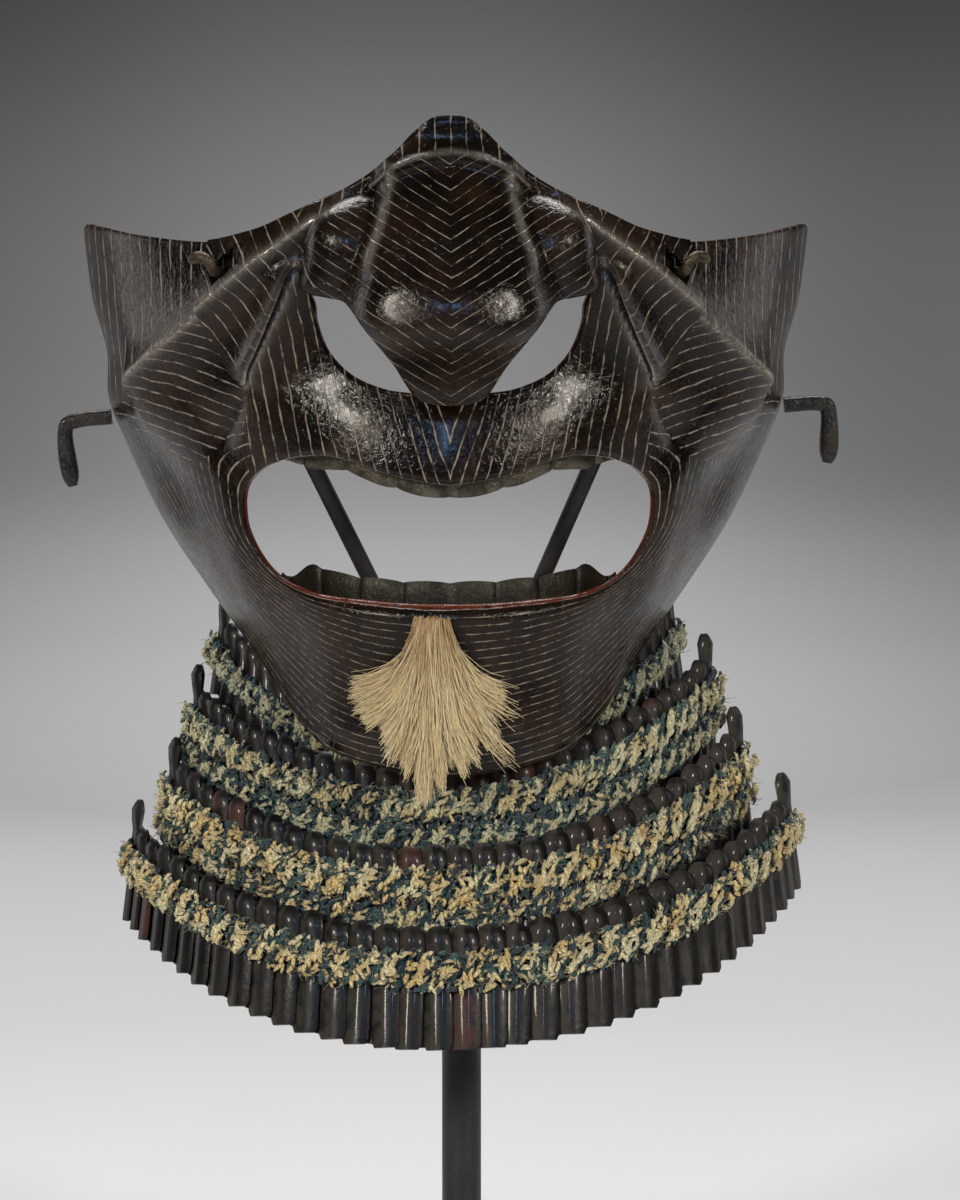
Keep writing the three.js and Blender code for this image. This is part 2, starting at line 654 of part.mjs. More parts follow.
for (const { lame, name, from, to } of LACING) {
  const reach = LAMES[lame - 1].span - BAND_SHORT;
  const face = (out) =>
    Array.from({ length: BAND_STEPS }, (unused, n) => {
      const degrees = mix(-reach, reach, n / (BAND_STEPS - 1));
      return [from, to].map((share) => lamePoint(lame - 1, degrees, share, out));
    });
  const inner = SCALE_RIB + BAND_GAP;
  addPiece(mask, name, wallSolid(face(inner + BAND_WALL), face(inner), false), LACING_SILK);
}

// ---- stand: base, post and the two arms that carry the mask --------------------------------------------
const BASE_RADIUS = 70;
const BASE_HEIGHT = 8;
const BASE_BEVEL = 1;
const BASE_SEGMENTS = 64;
const POST_WIDTH = 8.6;
const POST_SIDES = 20;
const FORK_HEIGHT = 147; // where the arms leave the post
const POST_CAP = 4; // how far the post goes on above that
const ARM_THICK = 3.6;
const ARM_SIDES = 10;
const ARM_END = { degrees: 31, height: 8 };

const BASE_PROFILE = [
  [0, 0],
  [BASE_RADIUS, 0],
  [BASE_RADIUS, BASE_HEIGHT - BASE_BEVEL],
  [BASE_RADIUS - BASE_BEVEL, BASE_HEIGHT],
  [0, BASE_HEIGHT],
].map(([radius, height]) => new THREE.Vector2(radius, height));
const base = new THREE.LatheGeometry(BASE_PROFILE, BASE_SEGMENTS).rotateX(Math.PI / 2);
addPiece(stand, "stand_base", solidOf(base), STAND_STEEL);

const post = [BASE_HEIGHT + GAP, FORK_HEIGHT + POST_CAP].map((z) => [0, 0, z, POST_WIDTH, POST_WIDTH]);
let frame = barSolid(post, POST_SIDES, [0, 1, 0]);
for (const { hand } of SIDES) {
  const reach = faceRadius(ARM_END.degrees, ARM_END.height) - PLATE - ARM_THICK / 2 - 2 * GAP;
  const [x, y, z] = onFace(hand * ARM_END.degrees, ARM_END.height, reach);
  const foot = [0, 0, FORK_HEIGHT, ARM_THICK, ARM_THICK];
  const end = [x - POST_X, y - POST_Y, z + LIP_HEIGHT, ARM_THICK, ARM_THICK];
  frame = frame.add(barSolid([foot, end], ARM_SIDES, [0, 1, 0]));
}
addPiece(stand, "stand_frame", frame, STAND_STEEL);

// ---- the whole ----------------------------------------------------------------------------------------
mask.position.set(-POST_X, -POST_Y, LIP_HEIGHT);
const faceGuard = new THREE.Group();
faceGuard.add(mask, stand);

export default faceGuard;
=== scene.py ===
# Finishes the iron half mask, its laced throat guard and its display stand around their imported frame.
# Lengths in the tables are millimetres from the mask's own origin, on the axis of the head and level
# with the top of the upper lip. The mask looks along -Y, and its left cheek is at +X.
import math

import bpy
import numpy as np
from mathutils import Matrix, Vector


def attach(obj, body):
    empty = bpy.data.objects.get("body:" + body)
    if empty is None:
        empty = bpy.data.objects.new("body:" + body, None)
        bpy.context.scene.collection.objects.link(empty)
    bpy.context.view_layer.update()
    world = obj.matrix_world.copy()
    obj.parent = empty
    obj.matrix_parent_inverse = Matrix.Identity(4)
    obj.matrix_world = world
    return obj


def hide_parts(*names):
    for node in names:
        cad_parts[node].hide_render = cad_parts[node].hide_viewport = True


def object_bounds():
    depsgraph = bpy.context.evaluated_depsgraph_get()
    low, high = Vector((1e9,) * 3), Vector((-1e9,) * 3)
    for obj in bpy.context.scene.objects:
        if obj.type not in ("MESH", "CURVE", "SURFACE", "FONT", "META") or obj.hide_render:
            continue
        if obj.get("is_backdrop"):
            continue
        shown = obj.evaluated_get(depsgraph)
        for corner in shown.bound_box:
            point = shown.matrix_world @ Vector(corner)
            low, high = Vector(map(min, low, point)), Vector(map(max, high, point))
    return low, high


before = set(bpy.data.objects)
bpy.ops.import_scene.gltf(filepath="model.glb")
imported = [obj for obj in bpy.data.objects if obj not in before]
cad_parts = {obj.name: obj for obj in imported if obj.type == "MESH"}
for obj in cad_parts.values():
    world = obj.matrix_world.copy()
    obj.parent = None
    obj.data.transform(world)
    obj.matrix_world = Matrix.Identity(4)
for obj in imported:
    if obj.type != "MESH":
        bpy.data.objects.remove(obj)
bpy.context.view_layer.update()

MASK_ORIGIN = np.array([-3.0, 36.0, 230.0])  # in the frame of the whole part
PLATE = 1.5
NOSE_LIFT = 2.3
LIP_ROLL = 2.4
LIP_ROUND = 1.6
DEG = math.pi / 180
ARC = 80 * DEG  # millimetres along the wall for a degree about the head's axis
dice = np.random.default_rng(1740)


# ---- camera and light ---------------------------------------------------------------------------------
def in_frame(points):
    """Metres in the frame of the whole part, for points in the mask's own millimetres."""
    return (np.asarray(points, float) + MASK_ORIGIN) / 1000


AIM = (6.3, -80, -42.5)
CAMERA_DISTANCE = 1100
CAMERA_AZIMUTH = -1 * DEG
CAMERA_ELEVATION = 6 * DEG
LENS = 157.1

back = Vector(
    (
        math.sin(CAMERA_AZIMUTH) * math.cos(CAMERA_ELEVATION),
        -math.cos(CAMERA_AZIMUTH) * math.cos(CAMERA_ELEVATION),
        math.sin(CAMERA_ELEVATION),
    )
)
camera = bpy.data.objects.new("camera", bpy.data.cameras.new("camera"))
bpy.context.collection.objects.link(camera)
camera.data.sensor_width = 36
camera.data.lens = LENS
camera.data.clip_end = 100
camera.location = Vector(in_frame(AIM)) + back * CAMERA_DISTANCE / 1000
camera.rotation_mode = "QUATERNION"
camera.rotation_quaternion = back.to_track_quat("Z", "Y")
bpy.context.scene.camera = camera

bpy.context.scene.view_settings.view_transform = "Standard"

# name, place from the mask in metres, width, height, watts, colour
LIGHTS = [
    ("key_left", (-0.75, -0.95, 0.42), 0.15, 0.22, 8.0, (1.0, 0.93, 0.82)),
    ("key_right", (0.78, -0.92, 0.44), 0.15, 0.22, 7.0, (1.0, 0.93, 0.82)),
    ("blue_top", (-0.03, -1.05, 0.42), 0.03, 0.2, 1.3, (0.3, 0.56, 1.0)),
    ("side_left", (-1.3, 0.75, 0.15), 0.6, 1.2, 3.4, (1.0, 0.98, 0.96)),
    ("side_right", (1.3, 0.75, 0.15), 0.6, 1.2, 2.7, (1.0, 0.98, 0.96)),
    ("over_floor", (0.0, 1.0, 1.25), 1.1, 0.8, 26, (1.0, 1.0, 1.0)),
]
for name, place, width, height, watts, colour in LIGHTS:
    lamp = bpy.data.lights.new(name, "AREA")
    lamp.shape = "RECTANGLE"
    lamp.size = width
    lamp.size_y = height
    lamp.energy = watts
    lamp.color = colour
    holder = bpy.data.objects.new(name, lamp)
    bpy.context.collection.objects.link(holder)
    holder.location = Vector(place) + Vector(in_frame((0, -60, 0)))
    aim = Vector(place) if name != "over_floor" else Vector((0, 0, 1))
    holder.rotation_mode = "QUATERNION"
    holder.rotation_quaternion = aim.to_track_quat("Z", "Y")

world = bpy.data.worlds.new("studio")
bpy.context.scene.world = world
world.use_nodes = True
world.node_tree.nodes["Background"].inputs["Color"].default_value = (0.5, 0.5, 0.52, 1)
world.node_tree.nodes["Background"].inputs["Strength"].default_value = 0.02


# ---- numbers on curves --------------------------------------------------------------------------------
def ease(x):
    x = np.clip(x, 0, 1)
    return x * x * (3 - 2 * x)


def mix(a, b, t):
    return a + (b - a) * t


def bump(distance, width):
    return np.exp(-((distance / width) ** 2))


def smooth_columns(keys, rows, at):
    """Smooth curves through the rows of a table, read at the places in at."""
    keys, rows = np.asarray(keys, float), np.asarray(rows, float)
    step = np.diff(keys)[:, None]
    rise = np.diff(rows, axis=0) / step
    inner = (rise[1:] * step[:-1] + rise[:-1] * step[1:]) / (step[:-1] + step[1:])
    slope = np.concatenate([rise[:1], inner, rise[-1:]])
    at = np.clip(np.asarray(at, float), keys[0], keys[-1])
    i = np.clip(np.searchsorted(keys, at, side="right") - 1, 0, len(keys) - 2)
    h = step[i]
    t = ((at - keys[i]) / h[..., 0])[..., None]
    return (
        (2 * t**3 - 3 * t**2 + 1) * rows[i]
        + (t**3 - 2 * t**2 + t) * h * slope[i]
        + (3 * t**2 - 2 * t**3) * rows[i + 1]
        + (t**3 - t**2) * h * slope[i + 1]
    )


def resample(rows, count):
    return smooth_columns(np.arange(len(rows)), rows, np.linspace(0, len(rows) - 1, count))


def both_halves(half):
    """A table of one half from the middle out, made whole from the right side to the left."""
    return np.concatenate([half[:0:-1] * (-1, 1, -1, 1), half])


# ---- the wall of the face -----------------------------------------------------------------------------
# Distance from the head's axis at each height, at 0, 15, 30 ... 90 degrees from the middle of the face.
FACE_SECTIONS = np.array(
    [
        (-84, 74.5, 71.5, 64, 54, 48, 46, 45),
        (-72, 79, 75, 64.5, 54, 48, 46, 45),
        (-58, 80, 77, 67.5, 58.5, 53, 51, 50),
        (-45, 82.5, 80, 73, 65.6, 59.6, 57, 56),
        (-30, 84, 82, 76.5, 72, 67.8, 65.4, 64.5),
        (-15, 86, 84, 79, 76, 73, 71.8, 71.5),
        (-5, 84, 83, 80.5, 78, 76, 75.5, 75.5),
        (6, 80, 80, 79.5, 79, 78, 76.4, 75.6),
        (16, 78.5, 79, 79.5, 79.5, 79.2, 78.8, 78.6),
        (26, 79, 79.5, 80, 80.5, 80.6, 80.2, 80.1),
        (34, 80, 80.5, 80.5, 81, 81.6, 81.2, 81),
        (50, 82, 82, 81, 81, 82, 81.6, 81),
        (70, 82, 82, 81, 81, 82, 81.6, 81),
    ],
    float,
)
SECTION_STEP = 15

# Lines on the face, as (degrees, height).
CHEEK_RIDGE = [
    (13, 42.5), (20, 36), (27, 29.3), (33.5, 22.5), (39.5, 16.3), (46, 10.6), (53, 5), (60, 0.5), (67, -2.5)
]
NOSTRIL_RIDGE = [(21.6, 31), (23, 24.5), (24.8, 18.8), (27.4, 12), (29.6, 6.7), (32.4, 1.7)]
LOWER_CREASE = [(32.4, 1.7), (34.3, -3.3), (37.2, -8), (40, -12), (43, -15)]
# line, out, above, below, comes in over, dies out over, left at the end
FOLDS = [
    (CHEEK_RIDGE, 5.4, 9, 4.5, 0.12, 0.18, 0),
    (NOSTRIL_RIDGE, 5, 5, 7, 0.25, 0.15, 0.7),
    (LOWER_CREASE, -3, 6, 6, 0, 0.4, 0),
]
# degrees, height, reach across, reach up, out
CHEEK_SWELLINGS = [
    (54, -5, 12, 7, 1.8), (57, -23, 11, 9, -2.8), (38, -30, 7, 14, 1.8), (28, -56, 8, 14, -1.5)
]

# Borders between the directions in which the iron is engraved, as (degrees, height).
WING_BORDER = CHEEK_RIDGE + [(76, -4.5), (92, -7)]
LIP_BORDER = [(20, 38)] + NOSTRIL_RIDGE + [(32.8, -5), (32.3, -12), (33.5, -19.5), (35, -26)]
JAW_BORDER = LOWER_CREASE + [(50, -15.5), (60, -12), (74, -8), (92, -7)]

# height, how far the crest of the nose stands out, half its width
NOSE_SECTIONS = np.array(
    [
        (-2, 7, 8),
        (2, 11, 10),
        (6, 16.5, 12.5),
        (10, 22.5, 15),
        (15, 27.6, 17.5),
        (20, 28.2, 18),
        (26, 24.8, 17),
        (32, 18.8, 15.5),
        (38, 13, 14),
        (44, 8.5, 13.2),
        (50, 4, 13),
        (54, 1.2, 13),
        (58, 1, 14),
        (66, 1.5, 16),
    ],
    float,
)
# mouth degrees, mouth height, edge degrees, edge height, from the middle of the upper lip to the chin
SPOKES = np.array(
    [
        (0, -18.2, 0, 0.2),
        (5, -17.2, 5.5, 1),
        (9.9, -15.6, 10, 1.9),
        (14.5, -13.4, 15, 4.7),
        (18.5, -12.4, 18.6, 9.5),
        (22, -12.6, 20.2, 15.5),
        (25, -13.2, 20.6, 21),
        (27.5, -14.2, 24, 31.5),
        (29.5, -15.2, 32, 32.2),
        (31.2, -16.4, 42, 32),
        (32.5, -17.6, 55, 32.8),
        (33.6, -19, 70, 34),
        (34.3, -20.6, 83, 33),
        (34.7, -22.4, 86, 22),
        (34.8, -24.4, 85.5, 10),
        (34.8, -26.6, 85, 0),
        (34.6, -29, 84.5, -9),
        (34, -31.6, 83, -18),
        (33, -34.4, 79, -27),
        (31.4, -37.2, 74, -36),
        (28.8, -39.8, 65, -45),
        (25.2, -41.8, 54, -53.5),
        (20.8, -43.3, 43, -62),
        (15.8, -44.2, 32, -70.5),
        (10.5, -44.7, 21, -76),
        (5.2, -45, 10, -79.3),
        (0, -45, 0, -80.8),
    ],
    float,
)
# top degrees, top height, low degrees, low height, from the middle of the nose to the edge of its flap
NOSE_COLUMNS = np.array(
    [
        (0, 59, 0, -0.8),
        (2.6, 58.4, 2.5, -0.5),
        (5.2, 55.4, 5, 1.6),
        (8, 51, 7.3, 8.8),
        (11.5, 47, 9.9, 15.3),
        (14.5, 44.3, 12.8, 20.2),
        (17, 42.4, 16, 21.3),
        (19.3, 40.8, 19.6, 22.6),
        (21, 39.6, 22.2, 27.5),
        (23.5, 38, 24.2, 21.5),
        (27, 35.8, 26.9, 14),
        (31, 34.2, 29.8, 6.8),
        (34.5, 33.1, 32.2, 2),
        (37.3, 32.5, 34.4, 3.6),
    ],
    float,
)


def wall(degrees, height):
    row = smooth_columns(FACE_SECTIONS[:, 0], FACE_SECTIONS[:, 1:], height)
    padded = np.concatenate([row[..., 1:2], row, 2 * row[..., -1:] - row[..., -2:-1]], axis=-1)
    at = np.abs(degrees) / SECTION_STEP
    i = np.minimum(at.astype(int), row.shape[-1] - 2)
    t = at - i
    a, b, c, d = (np.take_along_axis(padded, (i + k)[..., None], -1)[..., 0] for k in range(4))
    return 0.5 * (2 * b + (c - a) * t + (2 * a - 5 * b + 4 * c - d) * t**2 + (3 * b - a - 3 * c + d) * t**3)


def along_line(line, degrees, height):
    """Signed distance from a line on the face, positive above it, and the run along it in millimetres."""
    across = np.abs(degrees) * ARC
    points = np.array(line, float) * (ARC, 1)
    steps = np.diff(points, axis=0)
    runs = np.hypot(*steps.T)
    best = np.full(across.shape, 1e9)
    side = np.ones(across.shape)
    along = np.zeros(across.shape)
    before = 0
    for start, step, run in zip(points, steps, runs):
        px, pz = across - start[0], height - start[1]
        t = np.clip((px * step[0] + pz * step[1]) / run**2, 0, 1)
        distance = np.hypot(px - t * step[0], pz - t * step[1])
        nearer = distance < best
        best = np.where(nearer, distance, best)
        side = np.where(nearer, np.where(step[0] * pz - step[1] * px >= 0, 1, -1), side)
        along = np.where(nearer, before + t * run, along)
        before += run
    return best * side, along, before


CREST_ROUND = 0.45


def crest(distance, above, below):
    away = np.hypot(distance, CREST_ROUND) - CREST_ROUND
    return np.exp(-away / np.where(distance > 0, above, below))


def face_radius(degrees, height):
    radius = wall(degrees, height)
    for line, out, above, below, comes_in, dies_out, left in FOLDS:
        distance, run, whole = along_line(line, degrees, height)
        share = run / whole
        start = ease(share / comes_in) if comes_in else 1
        end = mix(1, left, ease((share - 1 + dies_out) / dies_out))
        radius = radius + out * crest(distance, above, below) * start * end
    for at_degrees, at_height, across, up, out in CHEEK_SWELLINGS:
        beside = bump((np.abs(degrees) - at_degrees) * ARC, across)
        radius = radius + out * beside * bump(height - at_height, up)
    beside = np.abs(degrees)
    edge = 1.1 * crest(height + 71.6, 7, 2.2) * (1 - ease((beside - 14) / 12))
    return radius + edge + 4.5 * ease((-73 - height) / 6) * ease((beside - 14) / 12)


# height, half the width of the bridge's flat, half its width at the foot of its sides
BRIDGE = [
    (24, 14.5, 22), (30, 13.6, 20), (36, 12.4, 17.5), (42, 11.6, 15.5), (48, 11.2, 14.5), (52, 11, 14.5)
]
# The nostril lobes: place, lean, half width and length, and how far their tops stand out
LOBE = {"across": 19.6, "height": 29.2, "lean": 21 * DEG, "half_width": 9.3, "half_length": 14.2, "out": 12.5}
# The flattened sides of the tip: place, reach, how far they stand out, and their turns outwards and upwards
TIP_FACET = {"across": 8.4, "height": 21, "size": 6.6, "out": 26.6, "turn": 16.5 * DEG, "tip": 12.5 * DEG}

CROWN_POWER = 4.6
CROWN_FALL = 0.08
CREASE = {"deep": 0.35, "wide": 1.2}
EDGE_BLEND = 1.1
LOBE_POWER = 0.62
LOBE_BLEND = 1.6
# The brow: a raised line along the arch and a hollow below it
BROW = {"line": 1.1, "line_wide": 0.9, "hollow": 1.9, "hollow_below": 3.4, "hollow_wide": 2.0}


def brow_arch(across):
    """Height of the crease under the peak."""
    return 51.2 - 7.5 * (across / 16) ** 2


def nose_height(degrees, height):
    across = np.abs(degrees) * ARC
    crown, half = np.moveaxis(smooth_columns(NOSE_SECTIONS[:, 0], NOSE_SECTIONS[:, 1:], height), -1, 0)
    rounded = crown / (1 + (across / half) ** CROWN_POWER)
    bridge = np.array(BRIDGE, float)
    top, foot = np.moveaxis(smooth_columns(bridge[:, 0], bridge[:, 1:], height), -1, 0)
    slope = crown * np.clip((foot - across) / (foot - top), -1, 2)
    flat = crown * (1 - CROWN_FALL * (across / top) ** 2) - CREASE["deep"] * np.exp(-across / CREASE["wide"])
    blunt = 0.5 * (flat + slope - np.hypot(flat - slope, EDGE_BLEND)) + EDGE_BLEND / 2
    blunt = np.where(blunt > 0, blunt, 0) + 0.35 * np.exp(-np.abs(blunt))
    faceted = ease((height - 25) / 8) * (1 - ease((height - 50) / 5))
    out = mix(rounded, blunt, faceted)
    beside, above = across - LOBE["across"], height - LOBE["height"]
    c, s = math.cos(LOBE["lean"]), math.sin(LOBE["lean"])
    ring = ((beside * c + above * s) / LOBE["half_width"]) ** 2
    ring = ring + ((above * c - beside * s) / LOBE["half_length"]) ** 2
    dome = LOBE["out"] * np.clip(1 - ring, 0, 1) ** LOBE_POWER
    out = 0.5 * (out + dome + np.hypot(out - dome, LOBE_BLEND)) - 0.3
    beside, above = across - TIP_FACET["across"], height - TIP_FACET["height"]
    facet = TIP_FACET["out"] - beside * math.tan(TIP_FACET["turn"]) - above * math.tan(TIP_FACET["tip"])
    out = mix(out, facet, 0.9 * bump(np.hypot(beside, above), TIP_FACET["size"]))
    below = brow_arch(across) - height
    within = 1 - ease((across - 10) / 6)
    brow = BROW["line"] * bump(below, BROW["line_wide"])
    brow = brow - BROW["hollow"] * bump(below - BROW["hollow_below"], BROW["hollow_wide"]) * within
    return out + brow * (1 - ease((across - 14) / 5))


def nose_radius(degrees, height):
    return face_radius(degrees, height) + nose_height(degrees, height) + NOSE_LIFT


def on_face(degrees, height, radius):
    angle = degrees * DEG
    return np.stack([radius * np.sin(angle), -radius * np.cos(angle), height + 0 * angle], axis=-1)


# ---- meshes -------------------------------------------------------------------------------------------
def piece(name, points, faces, material):
    """A mesh object of points in the mask's millimetres, with its faces turned outwards."""
    points = np.asarray(points, float).reshape(-1, 3)
    mesh = bpy.data.meshes.new(name)
    mesh.from_pydata(in_frame(points).tolist(), [], [list(face) for face in faces])
    mesh.update()
    mesh.calc_loop_triangles()
    triangles = np.zeros(len(mesh.loop_triangles) * 3, np.int32)
    mesh.loop_triangles.foreach_get("vertices", triangles)
    a, b, c = points[triangles.reshape(-1, 3)].transpose(1, 0, 2)
    if np.einsum("ij,ij->i", a, np.cross(b, c)).sum() < 0:
        mesh.flip_normals()
    mesh.materials.append(material)
    made = bpy.data.objects.new(name, mesh)
    bpy.context.collection.objects.link(made)
    return made


def smooth(made, degrees=38):
    made.data.shade_smooth()
    made.data.set_sharp_from_angle(angle=degrees * DEG)


def quads(rows, columns, wrap=False, start=0):
    """Faces of a grid of points, numbered row by row."""
    r = np.arange(rows if wrap else rows - 1)[:, None]
    c = np.arange(columns - 1)[None, :]
    here, there = start + r * columns + c, start + ((r + 1) % rows) * columns + c
    return np.stack([here, here + 1, there + 1, there], axis=-1).reshape(-1, 4)


def wall_faces(rows, outer, inner, wrap):
    """Faces of a closed wall between a grid of outer columns and one of inner columns, of equal rows."""
    inside = rows * outer
    faces = quads(rows, outer, wrap).tolist() + quads(rows, inner, wrap, inside)[:, ::-1].tolist()
    for r in range(rows if wrap else rows - 1):
        n = (r + 1) % rows
        faces.append([r * outer, n * outer, inside + n * inner, inside + r * inner])
        last, deep = outer - 1, inside + inner - 1
        faces.append([r * outer + last, deep + r * inner, deep + n * inner, n * outer + last])
    if not wrap:
        for r, turn in ((0, 1), (rows - 1, -1)):
            front = [r * outer + c for c in range(outer)]
            behind = [inside + r * inner + c for c in range(inner)][::-1]
            faces.append((front + behind)[:: -turn])
    return faces


def tube(name, path, widths, material, sides=16, square=1.0, up=(0, 0, 1)):
    """A rod through the points of a path, with (width, height) at each. Below 1, square makes it squarer."""
    path = np.asarray(path, float)
    widths = np.asarray(widths, float)
    ahead = np.gradient(path, axis=0)
    ahead /= np.linalg.norm(ahead, axis=1, keepdims=True)
    across = np.cross(np.asarray(up, float), ahead)
    across /= np.linalg.norm(across, axis=1, keepdims=True)
    over = np.cross(ahead, across)
    turn = np.arange(sides) / sides * 2 * math.pi
    ring_x = np.sign(np.cos(turn)) * np.abs(np.cos(turn)) ** square
    ring_y = np.sign(np.sin(turn)) * np.abs(np.sin(turn)) ** square
    points = path[:, None] + (
        across[:, None] * (ring_x[None, :, None] * widths[:, None, :1] / 2)
        + over[:, None] * (ring_y[None, :, None] * widths[:, None, 1:] / 2)
    )
    count = len(path)
    faces = []
    for r in range(count - 1):
        for c in range(sides):
            d = (c + 1) % sides
            faces.append([r * sides + c, r * sides + d, (r + 1) * sides + d, (r + 1) * sides + c])
    faces.append(list(range(sides))[::-1])
    faces.append([(count - 1) * sides + c for c in range(sides)])
    made = piece(name, points, faces, material)
    smooth(made, 50)
    return made


def joined(name, pieces):
    """Several mesh objects as one."""
    bpy.ops.object.select_all(action="DESELECT")
    for made in pieces:
        made.select_set(True)
    bpy.context.view_layer.objects.active = pieces[0]
    bpy.ops.object.join()
    pieces[0].name = name
    pieces[0].data.name = name
    return pieces[0]


def attribute(made, name, values):
    layer = made.data.attributes.new(name, "FLOAT", "POINT")
    layer.data.foreach_set("value", np.asarray(values, np.float32).ravel())


def mask_points(made):
    """The vertices of a piece in the mask's millimetres, with their degrees and height."""
    flat = np.zeros(len(made.data.vertices) * 3, np.float32)
    made.data.vertices.foreach_get("co", flat)
    points = flat.reshape(-1, 3) * 1000.0 - MASK_ORIGIN
    return points, np.degrees(np.arctan2(points[:, 0], -points[:, 1])), points[:, 2]


# ---- building node trees ------------------------------------------------------------------------------
def node(tree, kind, inputs=None, **settings):
    made = tree.nodes.new(kind)
    for key, value in settings.items():
        setattr(made, key, value)
    for key, value in (inputs or {}).items():
        if isinstance(value, bpy.types.NodeSocket):
            tree.links.new(value, made.inputs[key])
        else:
            made.inputs[key].default_value = value
    return made


def calc(tree, operation, *values, clamp=False):
    made = node(tree, "ShaderNodeMath", dict(enumerate(values)), operation=operation)
    made.use_clamp = clamp
    return made.outputs[0]


def vector_calc(tree, operation, *values, scale=None):
    made = node(tree, "ShaderNodeVectorMath", dict(enumerate(values)), operation=operation)
    if scale is not None:
        if isinstance(scale, bpy.types.NodeSocket):
            tree.links.new(scale, made.inputs["Scale"])
        else:
            made.inputs["Scale"].default_value = scale
    return made.outputs["Value" if operation in ("DOT_PRODUCT", "LENGTH", "DISTANCE") else "Vector"]


def ramp(tree, value, low, high, to_low=0.0, to_high=1.0, steps="SMOOTHSTEP"):
    inputs = {"Value": value, "From Min": low, "From Max": high, "To Min": to_low, "To Max": to_high}
    return node(tree, "ShaderNodeMapRange", inputs, interpolation_type=steps).outputs["Result"]


def blend_colours(tree, share, first, second, way="MIX"):
    made = node(tree, "ShaderNodeMix", data_type="RGBA", blend_type=way)
    for index, value in ((0, share), (6, first), (7, second)):
        if isinstance(value, bpy.types.NodeSocket):
            tree.links.new(value, made.inputs[index])
        else:
            made.inputs[index].default_value = value if index == 0 else (*value, 1)
    return made.outputs[2]


def noise(tree, where, scale, detail=3.0, roughness=0.55, distortion=0.0):
    inputs = {
        "Vector": where, "Scale": scale, "Detail": detail, "Roughness": roughness, "Distortion": distortion
    }
    return node(tree, "ShaderNodeTexNoise", inputs).outputs["Fac"]


def group(name, sockets_in, sockets_out, kind="ShaderNodeTree"):
    """An empty node group with named sockets, given as (name, kind, starting value)."""
    tree = bpy.data.node_groups.new(name, kind)
    for label, socket, start in sockets_in:
        made = tree.interface.new_socket(label, in_out="INPUT", socket_type="NodeSocket" + socket)
        if start is not None:
            made.default_value = start
    for label, socket in sockets_out:
        tree.interface.new_socket(label, in_out="OUTPUT", socket_type="NodeSocket" + socket)
    return tree, tree.nodes.new("NodeGroupInput").outputs, tree.nodes.new("NodeGroupOutput").inputs


def use(tree, made_group, **inputs):
    made = tree.nodes.new("ShaderNodeGroup")
    made.node_tree = made_group
    for key, value in inputs.items():
        socket = made.inputs[key.replace("_", " ")]
        if isinstance(value, bpy.types.NodeSocket):
            tree.links.new(value, socket)
        else:
            socket.default_value = value
    return made.outputs


def object_place(tree):
    return node(tree, "ShaderNodeTexCoord").outputs["Object"]


def read(tree, name):
    return node(tree, "ShaderNodeAttribute", attribute_name=name).outputs["Fac"]


# ---- effects that several finishes share --------------------------------------------------------------
# Engraved lines from a phase that grows by one from line to line.
ENGRAVING, have, give = group(
    "Engraved lines",
    [("Phase", "Float", 0.0), ("Place", "Vector", None), ("Width", "Float", 0.1), ("Wander", "Float", 0.12)],
    [("Line", "Float"), ("Cut", "Float")],
)
wavering = noise(ENGRAVING, have["Place"], 110.0, 2.0)
wavering = calc(ENGRAVING, "MULTIPLY", calc(ENGRAVING, "SUBTRACT", wavering, 0.5), have["Wander"])
tooth = calc(
    ENGRAVING, "FRACT", calc(ENGRAVING, "ADD", have["Phase"], calc(ENGRAVING, "MULTIPLY", wavering, 4.0))
)
tooth = calc(ENGRAVING, "ABSOLUTE", calc(ENGRAVING, "SUBTRACT", tooth, 0.5))
broken = noise(ENGRAVING, have["Place"], 420.0, 3.0, 0.6)
width = calc(ENGRAVING, "MULTIPLY", have["Width"], ramp(ENGRAVING, broken, 0.3, 0.7, 0.45, 1.35))
line = node(
    ENGRAVING,
    "ShaderNodeMapRange",
    {"Value": tooth, "From Min": 0.0, "From Max": width, "To Min": 1.0, "To Max": 0.0},
)
line.interpolation_type = "SMOOTHSTEP"
ENGRAVING.links.new(line.outputs["Result"], give["Cut"])
# The line mask, broken up by noise: the iron paints it lighter as a highlight of light caught in the cuts,
# worn away in places.
worn = calc(ENGRAVING, "MULTIPLY", line.outputs["Result"], ramp(ENGRAVING, broken, 0.34, 0.58, 0.2, 1.0))
ENGRAVING.links.new(worn, give["Line"])

# Old lacquer: slow patches, fine specks and the small bumps that a brush and a hammer leave.
AGEING, have, give = group(
    "Old lacquer",
    [("Place", "Vector", None), ("Patch Size", "Float", 0.012), ("Speck Size", "Float", 0.0009)],
    [("Patch", "Float"), ("Speck", "Float"), ("Relief", "Float")],
)
patch = noise(AGEING, have["Place"], calc(AGEING, "DIVIDE", 1.0, have["Patch Size"]), 4.0, 0.6, 0.4)
AGEING.links.new(ramp(AGEING, patch, 0.38, 0.66), give["Patch"])
fine = calc(AGEING, "DIVIDE", 1.0, have["Speck Size"])
speck = noise(AGEING, have["Place"], fine, 2.0, 0.5)
AGEING.links.new(ramp(AGEING, speck, 0.66, 0.76), give["Speck"])
rough_sea = noise(AGEING, have["Place"], calc(AGEING, "MULTIPLY", fine, 0.8), 3.0, 0.6, 0.6)
AGEING.links.new(rough_sea, give["Relief"])

# A thin layer of dust that gathers in patches.
DUST, have, give = group(
    "Dust", [("Place", "Vector", None), ("Amount", "Float", 0.2)], [("Dust", "Float")]
)
drift = noise(DUST, have["Place"], 60.0, 4.0, 0.65)
DUST.links.new(calc(DUST, "MULTIPLY", ramp(DUST, drift, 0.42, 0.75), have["Amount"]), give["Dust"])

